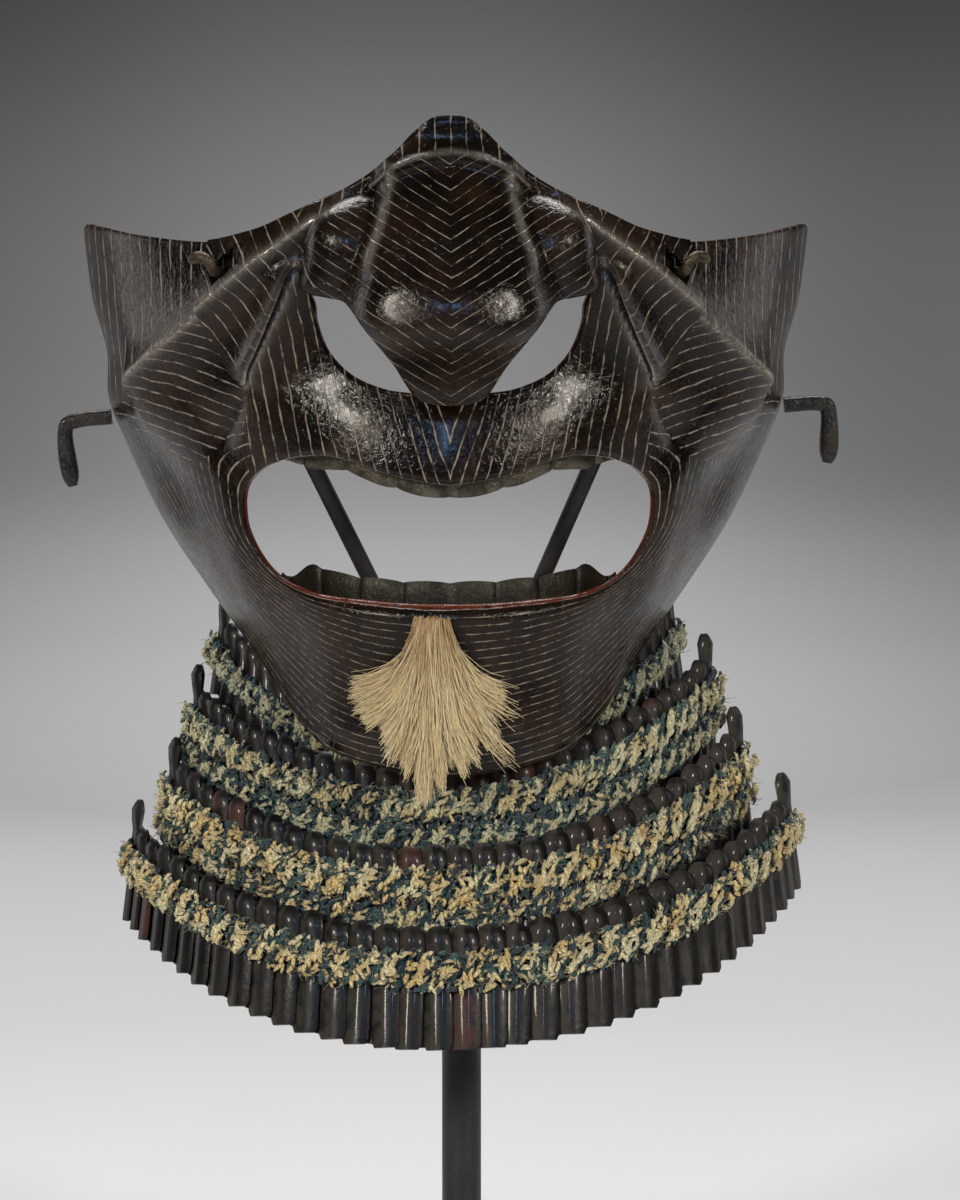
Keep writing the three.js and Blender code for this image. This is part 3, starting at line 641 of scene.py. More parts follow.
# Twisted yarn from the run along a strand in metres and the share of a turn around it.
YARN, have, give = group(
    "Twisted yarn",
    [
        ("Along", "Float", 0.0),
        ("Around", "Float", 0.0),
        ("Ply Length", "Float", 0.0022),
        ("Plies", "Float", 3.0),
    ],
    [("Ply", "Float")],
)
wind = calc(YARN, "DIVIDE", have["Along"], have["Ply Length"])
wind = calc(YARN, "ADD", wind, calc(YARN, "MULTIPLY", have["Around"], have["Plies"]))
wind = calc(YARN, "SINE", calc(YARN, "MULTIPLY", wind, 2 * math.pi))
YARN.links.new(calc(YARN, "MULTIPLY_ADD", wind, 0.5, 0.5), give["Ply"])


def finish(name):
    """A new material, with its tree, its Principled BSDF and object coordinates."""
    material = bpy.data.materials.new(name)
    material.use_nodes = True
    tree = material.node_tree
    return material, tree, tree.nodes["Principled BSDF"], object_place(tree)


def raise_surface(tree, shader, height, distance, strength=1.0):
    made = node(tree, "ShaderNodeBump", {"Height": height, "Distance": distance, "Strength": strength})
    tree.links.new(made.outputs["Normal"], shader.inputs["Normal"])


def chosen(tree, edge, inside, outside):
    """inside where the signed distance edge is positive, and outside elsewhere."""
    return node(
        tree, "ShaderNodeMix", {0: calc(tree, "GREATER_THAN", edge, 0.0), 2: outside, 3: inside}
    ).outputs[0]


def iron_finish(name, phase_of, line_width):
    """Dark russet iron with engraved lines. phase_of(tree) gives the phase of the lines."""
    material, tree, shader, place = finish(name)
    phase = phase_of(tree)
    lines = use(tree, ENGRAVING, Phase=phase, Place=place, Width=line_width, Wander=0.14)
    age = use(tree, AGEING, Place=place, Patch_Size=0.014, Speck_Size=0.0011)
    dust = use(tree, DUST, Place=place, Amount=0.15)["Dust"]
    rub = read(tree, "rub")
    streak = noise(tree, place, 700.0, 3.0, 0.65)
    rub = calc(tree, "MULTIPLY", rub, ramp(tree, streak, 0.3, 0.62, 0.35, 1.0), clamp=True)
    ground = blend_colours(tree, age["Patch"], (0.0055, 0.0042, 0.0034), (0.021, 0.0105, 0.0058))
    ground = blend_colours(tree, calc(tree, "MULTIPLY", dust, 0.6), ground, (0.05, 0.042, 0.034))
    ground = blend_colours(tree, calc(tree, "MULTIPLY", age["Speck"], 0.5), ground, (0.13, 0.09, 0.055))
    # Painted highlight: the engraved lines are lightened to stand for light caught in the cuts.
    ground = blend_colours(tree, calc(tree, "MULTIPLY", lines["Line"], 0.85), ground, (0.38, 0.31, 0.23))
    ground = blend_colours(tree, rub, ground, (0.42, 0.38, 0.33))
    chips = noise(tree, place, 260.0, 4.0, 0.7)
    lacquer = blend_colours(tree, ramp(tree, chips, 0.5, 0.66), (0.13, 0.022, 0.007), (0.03, 0.011, 0.007))
    ground = blend_colours(tree, read(tree, "inside"), ground, lacquer)
    tree.links.new(ground, shader.inputs["Base Color"])
    gloss = calc(tree, "MULTIPLY_ADD", age["Patch"], 0.1, 0.16)
    gloss = calc(tree, "ADD", gloss, calc(tree, "MULTIPLY", dust, 0.5))
    gloss = calc(tree, "ADD", gloss, calc(tree, "MULTIPLY", lines["Cut"], 0.15), clamp=True)
    tree.links.new(gloss, shader.inputs["Roughness"])
    bare = calc(tree, "MULTIPLY", rub, 0.85)
    tree.links.new(bare, shader.inputs["Metallic"])
    height = calc(tree, "MULTIPLY", lines["Cut"], -1.0)
    height = calc(tree, "ADD", height, calc(tree, "MULTIPLY", age["Relief"], 2.0))
    height = calc(tree, "SUBTRACT", height, calc(tree, "MULTIPLY", age["Speck"], 0.4))
    raise_surface(tree, shader, height, 0.00011)
    shader.inputs["IOR"].default_value = 1.45
    shader.inputs["Specular IOR Level"].default_value = 0.28
    shader.inputs["Coat Weight"].default_value = 0.08
    shader.inputs["Coat Roughness"].default_value = 0.12
    return material


def plate_phase(tree):
    cheek = chosen(tree, read(tree, "jaw_edge"), read(tree, "jaw_lines"), read(tree, "cheek_lines"))
    side = chosen(tree, read(tree, "wing_edge"), read(tree, "wing_lines"), cheek)
    return chosen(tree, read(tree, "lip_edge"), read(tree, "lip_lines"), side)


def nose_phase(tree):
    middle = chosen(tree, read(tree, "tab_edge"), read(tree, "tab_lines"), read(tree, "bridge_lines"))
    return chosen(tree, read(tree, "flap_edge"), read(tree, "flap_lines"), middle)


PLATE_IRON = iron_finish("russet_iron_plate", plate_phase, 0.095)
NOSE_IRON = iron_finish("russet_iron_nose", nose_phase, 0.065)


def metal_finish(name, base, worn, gloss, metal, patch, speck, relief, coat=0.0):
    """A plain metal or lacquer finish with patches, specks and fine relief."""
    material, tree, shader, place = finish(name)
    age = use(tree, AGEING, Place=place, Patch_Size=patch, Speck_Size=speck)
    dust = use(tree, DUST, Place=place, Amount=0.2)["Dust"]
    ground = blend_colours(tree, age["Patch"], base, worn)
    ground = blend_colours(tree, dust, ground, (0.09, 0.08, 0.07))
    ground = blend_colours(tree, calc(tree, "MULTIPLY", age["Speck"], 0.4), ground, (0.2, 0.15, 0.1))
    tree.links.new(ground, shader.inputs["Base Color"])
    gloss = calc(tree, "MULTIPLY_ADD", age["Patch"], 0.14, gloss)
    tree.links.new(
        calc(tree, "ADD", gloss, calc(tree, "MULTIPLY", dust, 0.6), clamp=True), shader.inputs["Roughness"]
    )
    shader.inputs["Metallic"].default_value = metal
    shader.inputs["Coat Weight"].default_value = coat
    shader.inputs["Coat Roughness"].default_value = 0.12
    raise_surface(tree, shader, age["Relief"], relief)
    return material


BLACK_IRON = metal_finish(
    "black_iron", (0.012, 0.011, 0.01), (0.04, 0.03, 0.022), 0.36, 0.4, 0.006, 0.0009, 0.0004, 0.2
)
PEG_BRASS = metal_finish(
    "worn_peg", (0.09, 0.065, 0.035), (0.02, 0.012, 0.007), 0.3, 0.7, 0.002, 0.0005, 0.0003
)
TEETH_SILVER = metal_finish(
    "silvered_teeth", (0.14, 0.125, 0.095), (0.05, 0.043, 0.03), 0.3, 0.8, 0.004, 0.0007, 0.0002
)
# A darker, rougher and less metallic copy of the teeth's silver, for the lower strip.
LOWER_SILVER = metal_finish(
    "silvered_teeth_darker", (0.035, 0.031, 0.019), (0.014, 0.012, 0.008), 0.36, 0.6, 0.004, 0.0007, 0.0002
)
STAND_PAINT = metal_finish(
    "stand_steel", (0.012, 0.012, 0.013), (0.02, 0.02, 0.02), 0.42, 0.1, 0.02, 0.0006, 0.00012
)


def scale_finish():
    """Black lacquer of the throat guard's scales, worn to red-brown on some heads, with a painted highlight
    down the left bevel of each.
    """
    material, tree, shader, place = finish("black_lacquer")
    age = use(tree, AGEING, Place=place, Patch_Size=0.009, Speck_Size=0.0008)
    dust = use(tree, DUST, Place=place, Amount=0.35)["Dust"]
    one = read(tree, "board")
    brown = calc(tree, "MULTIPLY", ramp(tree, one, 0.9, 0.94), ramp(tree, age["Patch"], 0.2, 0.8))
    ground = blend_colours(tree, brown, (0.005, 0.0047, 0.0047), (0.055, 0.018, 0.011))
    ground = blend_colours(tree, calc(tree, "MULTIPLY", dust, 0.5), ground, (0.05, 0.043, 0.037))
    # Painted highlight: the left bevel of each scale is lightened and roughened where the light falls on it.
    edge = calc(
        tree, "MULTIPLY", read(tree, "side"), ramp(tree, noise(tree, place, 300.0, 3.0), 0.35, 0.6, 0.2, 1.0)
    )
    ground = blend_colours(tree, calc(tree, "MULTIPLY", edge, 0.7), ground, (0.06, 0.048, 0.037))
    tree.links.new(ground, shader.inputs["Base Color"])
    gloss = calc(tree, "MULTIPLY_ADD", age["Patch"], 0.15, 0.34)
    gloss = calc(tree, "ADD", gloss, calc(tree, "MULTIPLY", edge, 0.25))
    tree.links.new(
        calc(tree, "ADD", gloss, calc(tree, "MULTIPLY", dust, 0.5), clamp=True), shader.inputs["Roughness"]
    )
    shader.inputs["Specular IOR Level"].default_value = 0.3
    shader.inputs["Coat Weight"].default_value = 0.16
    shader.inputs["Coat Roughness"].default_value = 0.08
    raise_surface(tree, shader, age["Relief"], 0.0001)
    return material


SCALE_LACQUER = scale_finish()


def silk_finish(name, blue_share, pale):
    """Faded lacing silk, cream and yellow with blue-green."""
    material, tree, shader, place = finish(name)
    ply = use(
        tree, YARN, Along=read(tree, "along"), Around=read(tree, "around"), Ply_Length=0.0009, Plies=2.0
    )["Ply"]
    fleck = noise(tree, place, 640.0, 3.0, 0.65)
    tint = calc(tree, "MULTIPLY_ADD", calc(tree, "SUBTRACT", fleck, 0.5), 2.6, read(tree, "tint"))
    blue = ramp(tree, tint, 1.0 - blue_share - 0.07, 1.0 - blue_share + 0.09)
    tone = noise(tree, place, 150.0, 3.0)
    cream = blend_colours(tree, ramp(tree, tone, 0.35, 0.65), (0.84, 0.62, 0.25), (0.93, 0.84, 0.52))
    cream = blend_colours(tree, pale, cream, (0.52, 0.6, 0.45))
    teal = blend_colours(tree, ramp(tree, tone, 0.4, 0.6), (0.009, 0.038, 0.06), (0.045, 0.12, 0.12))
    ground = blend_colours(tree, blue, cream, teal)
    # Painted shade: the yarn darkens in the grooves between its plies.
    ground = blend_colours(tree, ramp(tree, ply, 0.0, 0.5, 0.45, 0.0), ground, (0.09, 0.065, 0.03))
    tree.links.new(ground, shader.inputs["Base Color"])
    shader.inputs["Roughness"].default_value = 0.85
    shader.inputs["Sheen Weight"].default_value = 0.25
    shader.inputs["Sheen Roughness"].default_value = 0.4
    raise_surface(tree, shader, calc(tree, "ADD", ply, calc(tree, "MULTIPLY", fleck, 0.8)), 0.00022)
    return material


def bristle_finish():
    """Bristles, golden at the root and pale at the tip."""
    material, tree, shader, place = finish("pale_bristle")
    share = read(tree, "share")
    tint = read(tree, "tint")
    ground = blend_colours(tree, ramp(tree, share, 0.0, 0.75), (0.38, 0.22, 0.07), (0.93, 0.76, 0.44))
    ground = blend_colours(
        tree, calc(tree, "MULTIPLY", ramp(tree, tint, 0.5, 1.0), 0.75), ground, (0.95, 0.84, 0.58)
    )
    ground = blend_colours(
        tree, calc(tree, "MULTIPLY", ramp(tree, tint, 0.0, 0.3, 1.0, 0.0), 0.7), ground, (0.24, 0.13, 0.05)
    )
    ground = blend_colours(
        tree, ramp(tree, noise(tree, place, 900.0, 2.0), 0.4, 0.7, 0.0, 0.3), ground, (0.5, 0.36, 0.18)
    )
    tree.links.new(ground, shader.inputs["Base Color"])
    shader.inputs["Roughness"].default_value = 0.42
    shader.inputs["Sheen Weight"].default_value = 0.1
    return material


PALE_BRISTLE = bristle_finish()

# ---- trees for what repeats ---------------------------------------------------------------------------
# Each point of the mesh given is one strand, with its root, its run to the other end, its bow sideways, its
# tint and its girth as attributes.
STRANDS, have, give = group(
    "Strands",
    [
        ("Geometry", "Geometry", None),
        ("Segments", "Int", 8),
        ("Sides", "Int", 6),
        ("Radius", "Float", 0.0008),
        ("Tip Share", "Float", 1.0),
        ("Pinch", "Float", 0.0),
        ("Waviness", "Float", 0.0002),
        ("Wave Length", "Float", 0.004),
        ("Seed", "Float", 7.0),
        ("Apartness", "Float", 3000.0),
        ("Material", "Material", None),
    ],
    [("Geometry", "Geometry")],
    "GeometryNodeTree",
)


def stored(tree, name, kind="FLOAT"):
    return node(tree, "GeometryNodeInputNamedAttribute", {"Name": name}, data_type=kind).outputs["Attribute"]


points_out = node(STRANDS, "GeometryNodeMeshToPoints", {"Mesh": have["Geometry"]}).outputs["Points"]
straight = node(STRANDS, "GeometryNodeCurvePrimitiveLine").outputs["Curve"]
fine_line = node(
    STRANDS, "GeometryNodeResampleCurve", {
        "Curve": straight, "Count": calc(STRANDS, "ADD", have["Segments"], 1.0)
    }
).outputs["Curve"]
copies = node(
    STRANDS, "GeometryNodeInstanceOnPoints", {"Points": points_out, "Instance": fine_line}
).outputs[0]
curves = node(STRANDS, "GeometryNodeRealizeInstances", {"Geometry": copies}).outputs[0]
share = node(STRANDS, "GeometryNodeSplineParameter").outputs["Factor"]
swell = calc(
    STRANDS, "MULTIPLY", calc(STRANDS, "MULTIPLY", share, 4.0), calc(STRANDS, "SUBTRACT", 1.0, share)
)
root = stored(STRANDS, "root", "FLOAT_VECTOR")
run = stored(STRANDS, "run", "FLOAT_VECTOR")
bow = stored(STRANDS, "bow", "FLOAT_VECTOR")
spot = vector_calc(STRANDS, "ADD", root, vector_calc(STRANDS, "SCALE", run, scale=share))
spot = vector_calc(STRANDS, "ADD", spot, vector_calc(STRANDS, "SCALE", bow, scale=swell))
length = vector_calc(STRANDS, "LENGTH", run)
seat = vector_calc(STRANDS, "SCALE", root, scale=have["Apartness"])
travel = calc(STRANDS, "DIVIDE", calc(STRANDS, "MULTIPLY", share, length), have["Wave Length"])
wave = node(STRANDS, "ShaderNodeCombineXYZ", {"X": travel, "Y": have["Seed"]}).outputs[0]
wave = node(
    STRANDS, "ShaderNodeTexNoise", {
        "Vector": vector_calc(STRANDS, "ADD", seat, wave), "Scale": 1.0, "Detail": 1.0
    }
).outputs["Color"]
wave = vector_calc(STRANDS, "SUBTRACT", wave, (0.5, 0.5, 0.5))
reach = calc(
    STRANDS, "MULTIPLY", calc(STRANDS, "MULTIPLY", have["Waviness"], 3.0), calc(STRANDS, "POWER", share, 0.6)
)
spot = vector_calc(STRANDS, "ADD", spot, vector_calc(STRANDS, "SCALE", wave, scale=reach))
laid = node(STRANDS, "GeometryNodeSetPosition", {"Geometry": curves, "Position": spot}).outputs[0]
laid = node(
    STRANDS,
    "GeometryNodeStoreNamedAttribute",
    {"Geometry": laid, "Name": "along", "Value": calc(STRANDS, "MULTIPLY", share, length)},
).outputs[0]
laid = node(
    STRANDS, "GeometryNodeStoreNamedAttribute", {"Geometry": laid, "Name": "share", "Value": share}
).outputs[0]
ring = node(
    STRANDS, "GeometryNodeCurvePrimitiveCircle", {"Resolution": have["Sides"], "Radius": 1.0}
).outputs["Curve"]
ring = node(
    STRANDS, "GeometryNodeStoreNamedAttribute", {"Geometry": ring, "Name": "around", "Value": share}
).outputs[0]
taper = node(STRANDS, "ShaderNodeMix", {0: share, 2: 1.0, 3: have["Tip Share"]}).outputs[0]
pinched = calc(
    STRANDS, "SUBTRACT", 1.0, calc(STRANDS, "MULTIPLY", have["Pinch"], calc(STRANDS, "SUBTRACT", 1.0, swell))
)
thick = calc(STRANDS, "MULTIPLY", calc(STRANDS, "MULTIPLY", have["Radius"], taper), pinched)
thick = calc(STRANDS, "MULTIPLY", thick, stored(STRANDS, "girth"))
solid = node(
    STRANDS,
    "GeometryNodeCurveToMesh",
    {"Curve": laid, "Profile Curve": ring, "Scale": thick, "Fill Caps": True},
).outputs[0]
solid = node(STRANDS, "GeometryNodeSetShadeSmooth", {"Geometry": solid}).outputs[0]
solid = node(STRANDS, "GeometryNodeRealizeInstances", {"Geometry": solid}).outputs[0]
solid = node(STRANDS, "GeometryNodeSetMaterial", {"Geometry": solid, "Material": have["Material"]}).outputs[0]
STRANDS.links.new(solid, give["Geometry"])

# Each point of the mesh given is one scale, with the directions across it and up it, and how much its
# length is stretched.
BOARDS, have, give = group(
    "Scale boards",
    [
        ("Geometry", "Geometry", None),
        ("Board", "Object", None),
        ("Width Spread", "Float", 0.04),
        ("Seed", "Int", 5),
        ("Material", "Material", None),
    ],
    [("Geometry", "Geometry")],
    "GeometryNodeTree",
)
points_out = node(BOARDS, "GeometryNodeMeshToPoints", {"Mesh": have["Geometry"]}).outputs["Points"]
board = node(BOARDS, "GeometryNodeObjectInfo", {"Object": have["Board"]}).outputs["Geometry"]
turn = node(
    BOARDS,
    "FunctionNodeAxesToRotation",
    {
        "Primary Axis": stored(BOARDS, "up", "FLOAT_VECTOR"),
        "Secondary Axis": stored(BOARDS, "across", "FLOAT_VECTOR"),
    },
    primary_axis="Z",
    secondary_axis="X",
).outputs[0]
spread = node(BOARDS, "FunctionNodeRandomValue", {2: -1.0, 3: 1.0, "Seed": have["Seed"]}).outputs[1]
wide = calc(BOARDS, "ADD", 1.0, calc(BOARDS, "MULTIPLY", spread, have["Width Spread"]))
size = node(BOARDS, "ShaderNodeCombineXYZ", {"X": wide, "Y": 1.0, "Z": stored(BOARDS, "stretch")}).outputs[0]
copies = node(
    BOARDS, "GeometryNodeInstanceOnPoints", {
        "Points": points_out, "Instance": board, "Rotation": turn, "Scale": size
    }
).outputs[0]
solid = node(BOARDS, "GeometryNodeRealizeInstances", {"Geometry": copies}).outputs[0]
solid = node(BOARDS, "GeometryNodeSetMaterial", {"Geometry": solid, "Material": have["Material"]}).outputs[0]
BOARDS.links.new(solid, give["Geometry"])


def grown(name, tree, points, fields, **inputs):
    """The tree's result on loose points, in the mask's millimetres, as a plain mesh object."""
    mesh = bpy.data.meshes.new(name + "_points")
    mesh.from_pydata(in_frame(points).tolist(), [], [])
    for key, values in fields.items():
        values = np.asarray(values, np.float32)
        vector = values.ndim == 2
        layer = mesh.attributes.new(key, "FLOAT_VECTOR" if vector else "FLOAT", "POINT")
        layer.data.foreach_set("vector" if vector else "value", values.ravel())
    seeds = bpy.data.objects.new(name + "_points", mesh)
    bpy.context.collection.objects.link(seeds)
    modifier = seeds.modifiers.new("grow", "NODES")
    modifier.node_group = tree
    sockets = {item.name: item.identifier for item in tree.interface.items_tree if item.in_out == "INPUT"}
    for key, value in inputs.items():
        modifier[sockets[key.replace("_", " ")]] = value
    depsgraph = bpy.context.evaluated_depsgraph_get()
    result = bpy.data.meshes.new_from_object(seeds.evaluated_get(depsgraph))
    result.name = name
    seeds.modifiers.remove(modifier)
    bpy.data.objects.remove(seeds)
    made = bpy.data.objects.new(name, result)
    bpy.context.collection.objects.link(made)
    return made


def strands(name, roots, ends, bows, tints, girths, material, **inputs):
    roots = np.asarray(roots, float)
    fields = {
        "root": in_frame(roots),
        "run": (np.asarray(ends) - roots) / 1000,
        "bow": np.asarray(bows) / 1000,
        "tint": tints,
        "girth": girths,
    }
    return grown(name, STRANDS, roots, fields, Material=material, **inputs)


# ---- face plate ---------------------------------------------------------------------------------------
def face_sheet(spread, rounding, sink):
    """Points across the face plate, for angles round its rolled lip and shares of the way on to its edge."""
    whole = both_halves(resample(SPOKES, 211))[:-1]
    mouth_degrees, mouth, edge_degrees, edge = whole.T[:, :, None]
    lower = ease((-24 - mouth) / 12)
    fading = mix(1, 0.2, ease((np.abs(mouth_degrees) - 12) / 20))
    length = np.hypot((edge_degrees - mouth_degrees) * ARC, edge - mouth)
    first = LIP_ROUND / length
    angle = np.asarray(rounding)[None, :] * DEG
    roll = np.concatenate([first * (1 - np.cos(angle)), mix(first, 1, np.asarray(spread)[None, :])], axis=1)
    depth = np.concatenate(
        [LIP_ROLL * fading * (1 - np.sin(angle)), np.zeros((len(whole), len(spread)))], axis=1
    )
    lift = np.concatenate(
        [1.6 * lower * fading * (1 - np.sin(angle)), np.zeros((len(whole), len(spread)))], axis=1
    )
    degrees = mix(mouth_degrees, edge_degrees, roll)
    height = mix(mouth, edge, roll) + lift
    brim = 0.55 * ease((roll - 1 + 0.9 / length) / (0.9 / length))
    return on_face(degrees, height, face_radius(degrees, height) - depth - brim * (sink == 0) - sink)


def engrave(made):
    """Fields that the engraved finish reads: phases of the lines, borders between them and rubbed crests."""
    points, degrees, height = mask_points(made)
    across = np.abs(degrees) * ARC
    beside = np.abs(points[:, 0])
    wing, run, whole = along_line(WING_BORDER, degrees, height)
    attribute(made, "wing_edge", wing)
    attribute(made, "wing_lines", (beside + 0.12 * across - 0.03 * height) / 2.7)
    attribute(made, "cheek_lines", (height - 0.24 * across + 0.0035 * (across - 60) ** 2) / 2.7)
    attribute(made, "jaw_edge", np.maximum(-along_line(JAW_BORDER, degrees, height)[0], -21 - height))
    lip = -along_line(LIP_BORDER, degrees, height)[0]
    attribute(made, "lip_edge", np.minimum(lip, height + 21))
    attribute(made, "lip_lines", (beside - 0.36 * (height + 20) * (1 - 0.5 * ease(beside / 30))) / 2.6)
    attribute(made, "flap_edge", np.minimum(across - 19.4 * ARC, 60 - height) - 0.35 * (height - 31))
    attribute(made, "flap_lines", run / 3.5)
    attribute(made, "tab_edge", height - brow_arch(across))
    attribute(made, "tab_lines", points[:, 0] / 3.4 * (1 + 0.012 * (height - 50)) + 0.5)
    attribute(made, "bridge_lines", (height - 0.62 * beside) / 2.5)
    cheek, along, total = along_line(CHEEK_RIDGE, degrees, height)
    bright = np.exp(-np.abs(cheek) / 0.55) * ease(along / 8) * (1 - ease((along - total + 10) / 8))
    nostril, along, total = along_line(NOSTRIL_RIDGE, degrees, height)
    bright = np.maximum(bright, 0.9 * np.exp(-np.abs(nostril) / 0.5) * ease(along / 4))
    return points, degrees, height, bright


JAW_LINES = 21
LIP_ANGLES = np.linspace(0, 90, 9)[:-1]
front = face_sheet(np.linspace(0, 1, 110), LIP_ANGLES, 0)
behind = face_sheet(np.linspace(0, 1, 36), LIP_ANGLES[::3], PLATE)
face_plate = piece(
    "face_plate_skin",
    np.concatenate([front.reshape(-1, 3), behind.reshape(-1, 3)]),
    wall_faces(len(front), front.shape[1], behind.shape[1], True),
    PLATE_IRON,
)
smooth(face_plate, 42)
points, degrees, height, bright = engrave(face_plate)
seen = [
    np.cumsum(
        np.hypot(*np.diff(side[..., ::2], axis=1, prepend=side[:, :1, ::2]).transpose(2, 0, 1)), 1
    ) for side in (front, behind)
]
shares = np.concatenate([(reach / reach[:, -1:]).ravel() for reach in seen])
attribute(face_plate, "jaw_lines", shares * JAW_LINES)
inner = np.concatenate([np.zeros(front.shape[:2]).ravel(), np.ones(behind.shape[:2]).ravel()])
lip_in = np.zeros(front.shape[:2])
lip_in[:, :4] = np.array([1, 1, 0.6, 0]) * ease((-38 - front[:, :1, 2]) / 5)
inner[: lip_in.size] = lip_in.ravel()
attribute(face_plate, "inside", inner)
attribute(face_plate, "rub", bright * (inner < 0.5))

# ---- nose piece ---------------------------------------------------------------------------------------
PEG = {"degrees": 34.3, "height": 26.0}
SLOT = {"length": 8.4, "width": 4.0, "past": 2.0, "slope": 36 * DEG}


def nose_sheet(steps, sink):
    whole = both_halves(resample(NOSE_COLUMNS, 161))
    top_degrees, top, low_degrees, low = whole.T[:, :, None]
    t = np.asarray(steps)[None, :]
    bow = np.sign(top_degrees) * 2.6 * ease((np.abs(top_degrees) - 27) / 10) * np.sin(math.pi * t)
    degrees = mix(top_degrees, low_degrees, t) + bow
    height = mix(top, low, t)
    edge = 0.45 * (1 - ease(t / 0.025)) + 0.45 * ease((t - 0.975) / 0.025)
    length = np.hypot((low_degrees - top_degrees) * ARC, low - top)
    seam = ease((np.abs(low_degrees) - 20.5) / 2)
    closing = ease((t * length - length + 1.7) / 1.7) * seam
    edge = mix(edge, (1.75 if sink == 0 else 0.6) * closing, seam) if sink == 0 else edge * 0 + 0.6 * closing
    end = np.arange(len(whole))[:, None]
    end = ease((np.abs(end - (len(whole) - 1) / 2) - (len(whole) - 1) / 2 + 3) / 3)
    edge = np.maximum(edge, (1.6 if sink == 0 else 0.55) * end)
    return on_face(degrees, height, nose_radius(degrees, height) - edge - sink)


front = nose_sheet(np.linspace(0, 1, 121), 0)
behind = nose_sheet(np.linspace(0, 1, 31), PLATE)
nose_piece = piece(
    "nose_piece_skin",
    np.concatenate([front.reshape(-1, 3), behind.reshape(-1, 3)]),
    wall_faces(len(front), front.shape[1], behind.shape[1], False),
    NOSE_IRON,
)


def peg_place(hand, local):
    """Points beside a peg, given as along the cheek, out from it and up, in the mask's millimetres."""
    degrees, height = np.array(PEG["degrees"]), np.array(PEG["height"])
    centre = on_face(hand * degrees, height, face_radius(degrees, height))
    turn = hand * PEG["degrees"] * DEG
    along, out, up = np.asarray(local, float).T
    x = hand * along * math.cos(turn) + out * math.sin(turn)
    y = hand * along * math.sin(turn) - out * math.cos(turn)
    return centre + np.stack([x, y, up], axis=-1)


BOX_FACES = [(0, 1, 3, 2), (4, 6, 7, 5), (0, 4, 5, 1), (2, 3, 7, 6), (0, 2, 6, 4), (1, 5, 7, 3)]
for hand in (1, -1):
    corners = []
    for out in (-7, 7):
        for end in (-1, 1):
            for side in (-1, 1):
                along = end * SLOT["length"] / 2 - SLOT["past"]
                up = side * SLOT["width"] / 2
                c, s = math.cos(SLOT["slope"]), math.sin(SLOT["slope"])
                corners.append((along * c + up * s, out, -along * s + up * c))
    cutter = piece("slot_cutter", peg_place(hand, corners), BOX_FACES, BLACK_IRON)
    cut = nose_piece.modifiers.new("slot", "BOOLEAN")
    cut.operation = "DIFFERENCE"
    cut.solver = "EXACT"
    cut.object = cutter
    cut_mesh = bpy.data.meshes.new_from_object(
        nose_piece.evaluated_get(bpy.context.evaluated_depsgraph_get())
    )
    nose_piece.modifiers.remove(cut)
    nose_piece.data = cut_mesh
    bpy.data.objects.remove(cutter)
nose_piece.data.materials.clear()
nose_piece.data.materials.append(NOSE_IRON)
smooth(nose_piece, 42)
points, degrees, height, bright = engrave(nose_piece)
radius = np.hypot(points[:, 0], points[:, 1])
behind_it = (radius < nose_radius(degrees, height) - 0.9) & (radius < face_radius(degrees, height) + 0.4)
behind_it |= (radius < nose_radius(degrees, height) - 1.2) & (np.abs(degrees) < 20)
facet = np.array(BRIDGE, float)
facet_edge = smooth_columns(facet[:, 0], facet[:, 1:2], height)[..., 0]
on_bridge = ease((height - 27) / 3) * (1 - ease((height - 47) / 3))
edge_rub = 0.55 * bump(np.abs(degrees) * ARC - facet_edge, 0.8) * on_bridge
arch = height - brow_arch(np.abs(degrees) * ARC) - 0.3
edge_rub = np.maximum(edge_rub, 0.5 * bump(arch, 0.5) * (np.abs(points[:, 0]) < 17))
attribute(nose_piece, "inside", behind_it)
attribute(nose_piece, "rub", np.maximum(bright, edge_rub) * ~behind_it)

# ---- pegs ---------------------------------------------------------------------------------------------
PEG_PATH = [(0, 1, 0), (0, 3.3, 0), (0, 4.9, 1.9), (1.8, 5.6, 3.2), (5.2, 5.2, 2.4)]
pegs = []
for name, hand in (("left", 1), ("right", -1)):
    path = resample(np.array(PEG_PATH, float), 22)
    girth = mix(2.2, 2.7, ease((np.arange(22) - 10) / 10))
    girth[-3:] = (2.5, 2.0, 1.1)
    pegs.append(
        tube("peg_" + name, peg_place(hand, path), np.stack([girth, girth], -1), PEG_BRASS, 14, 0.85)
    )

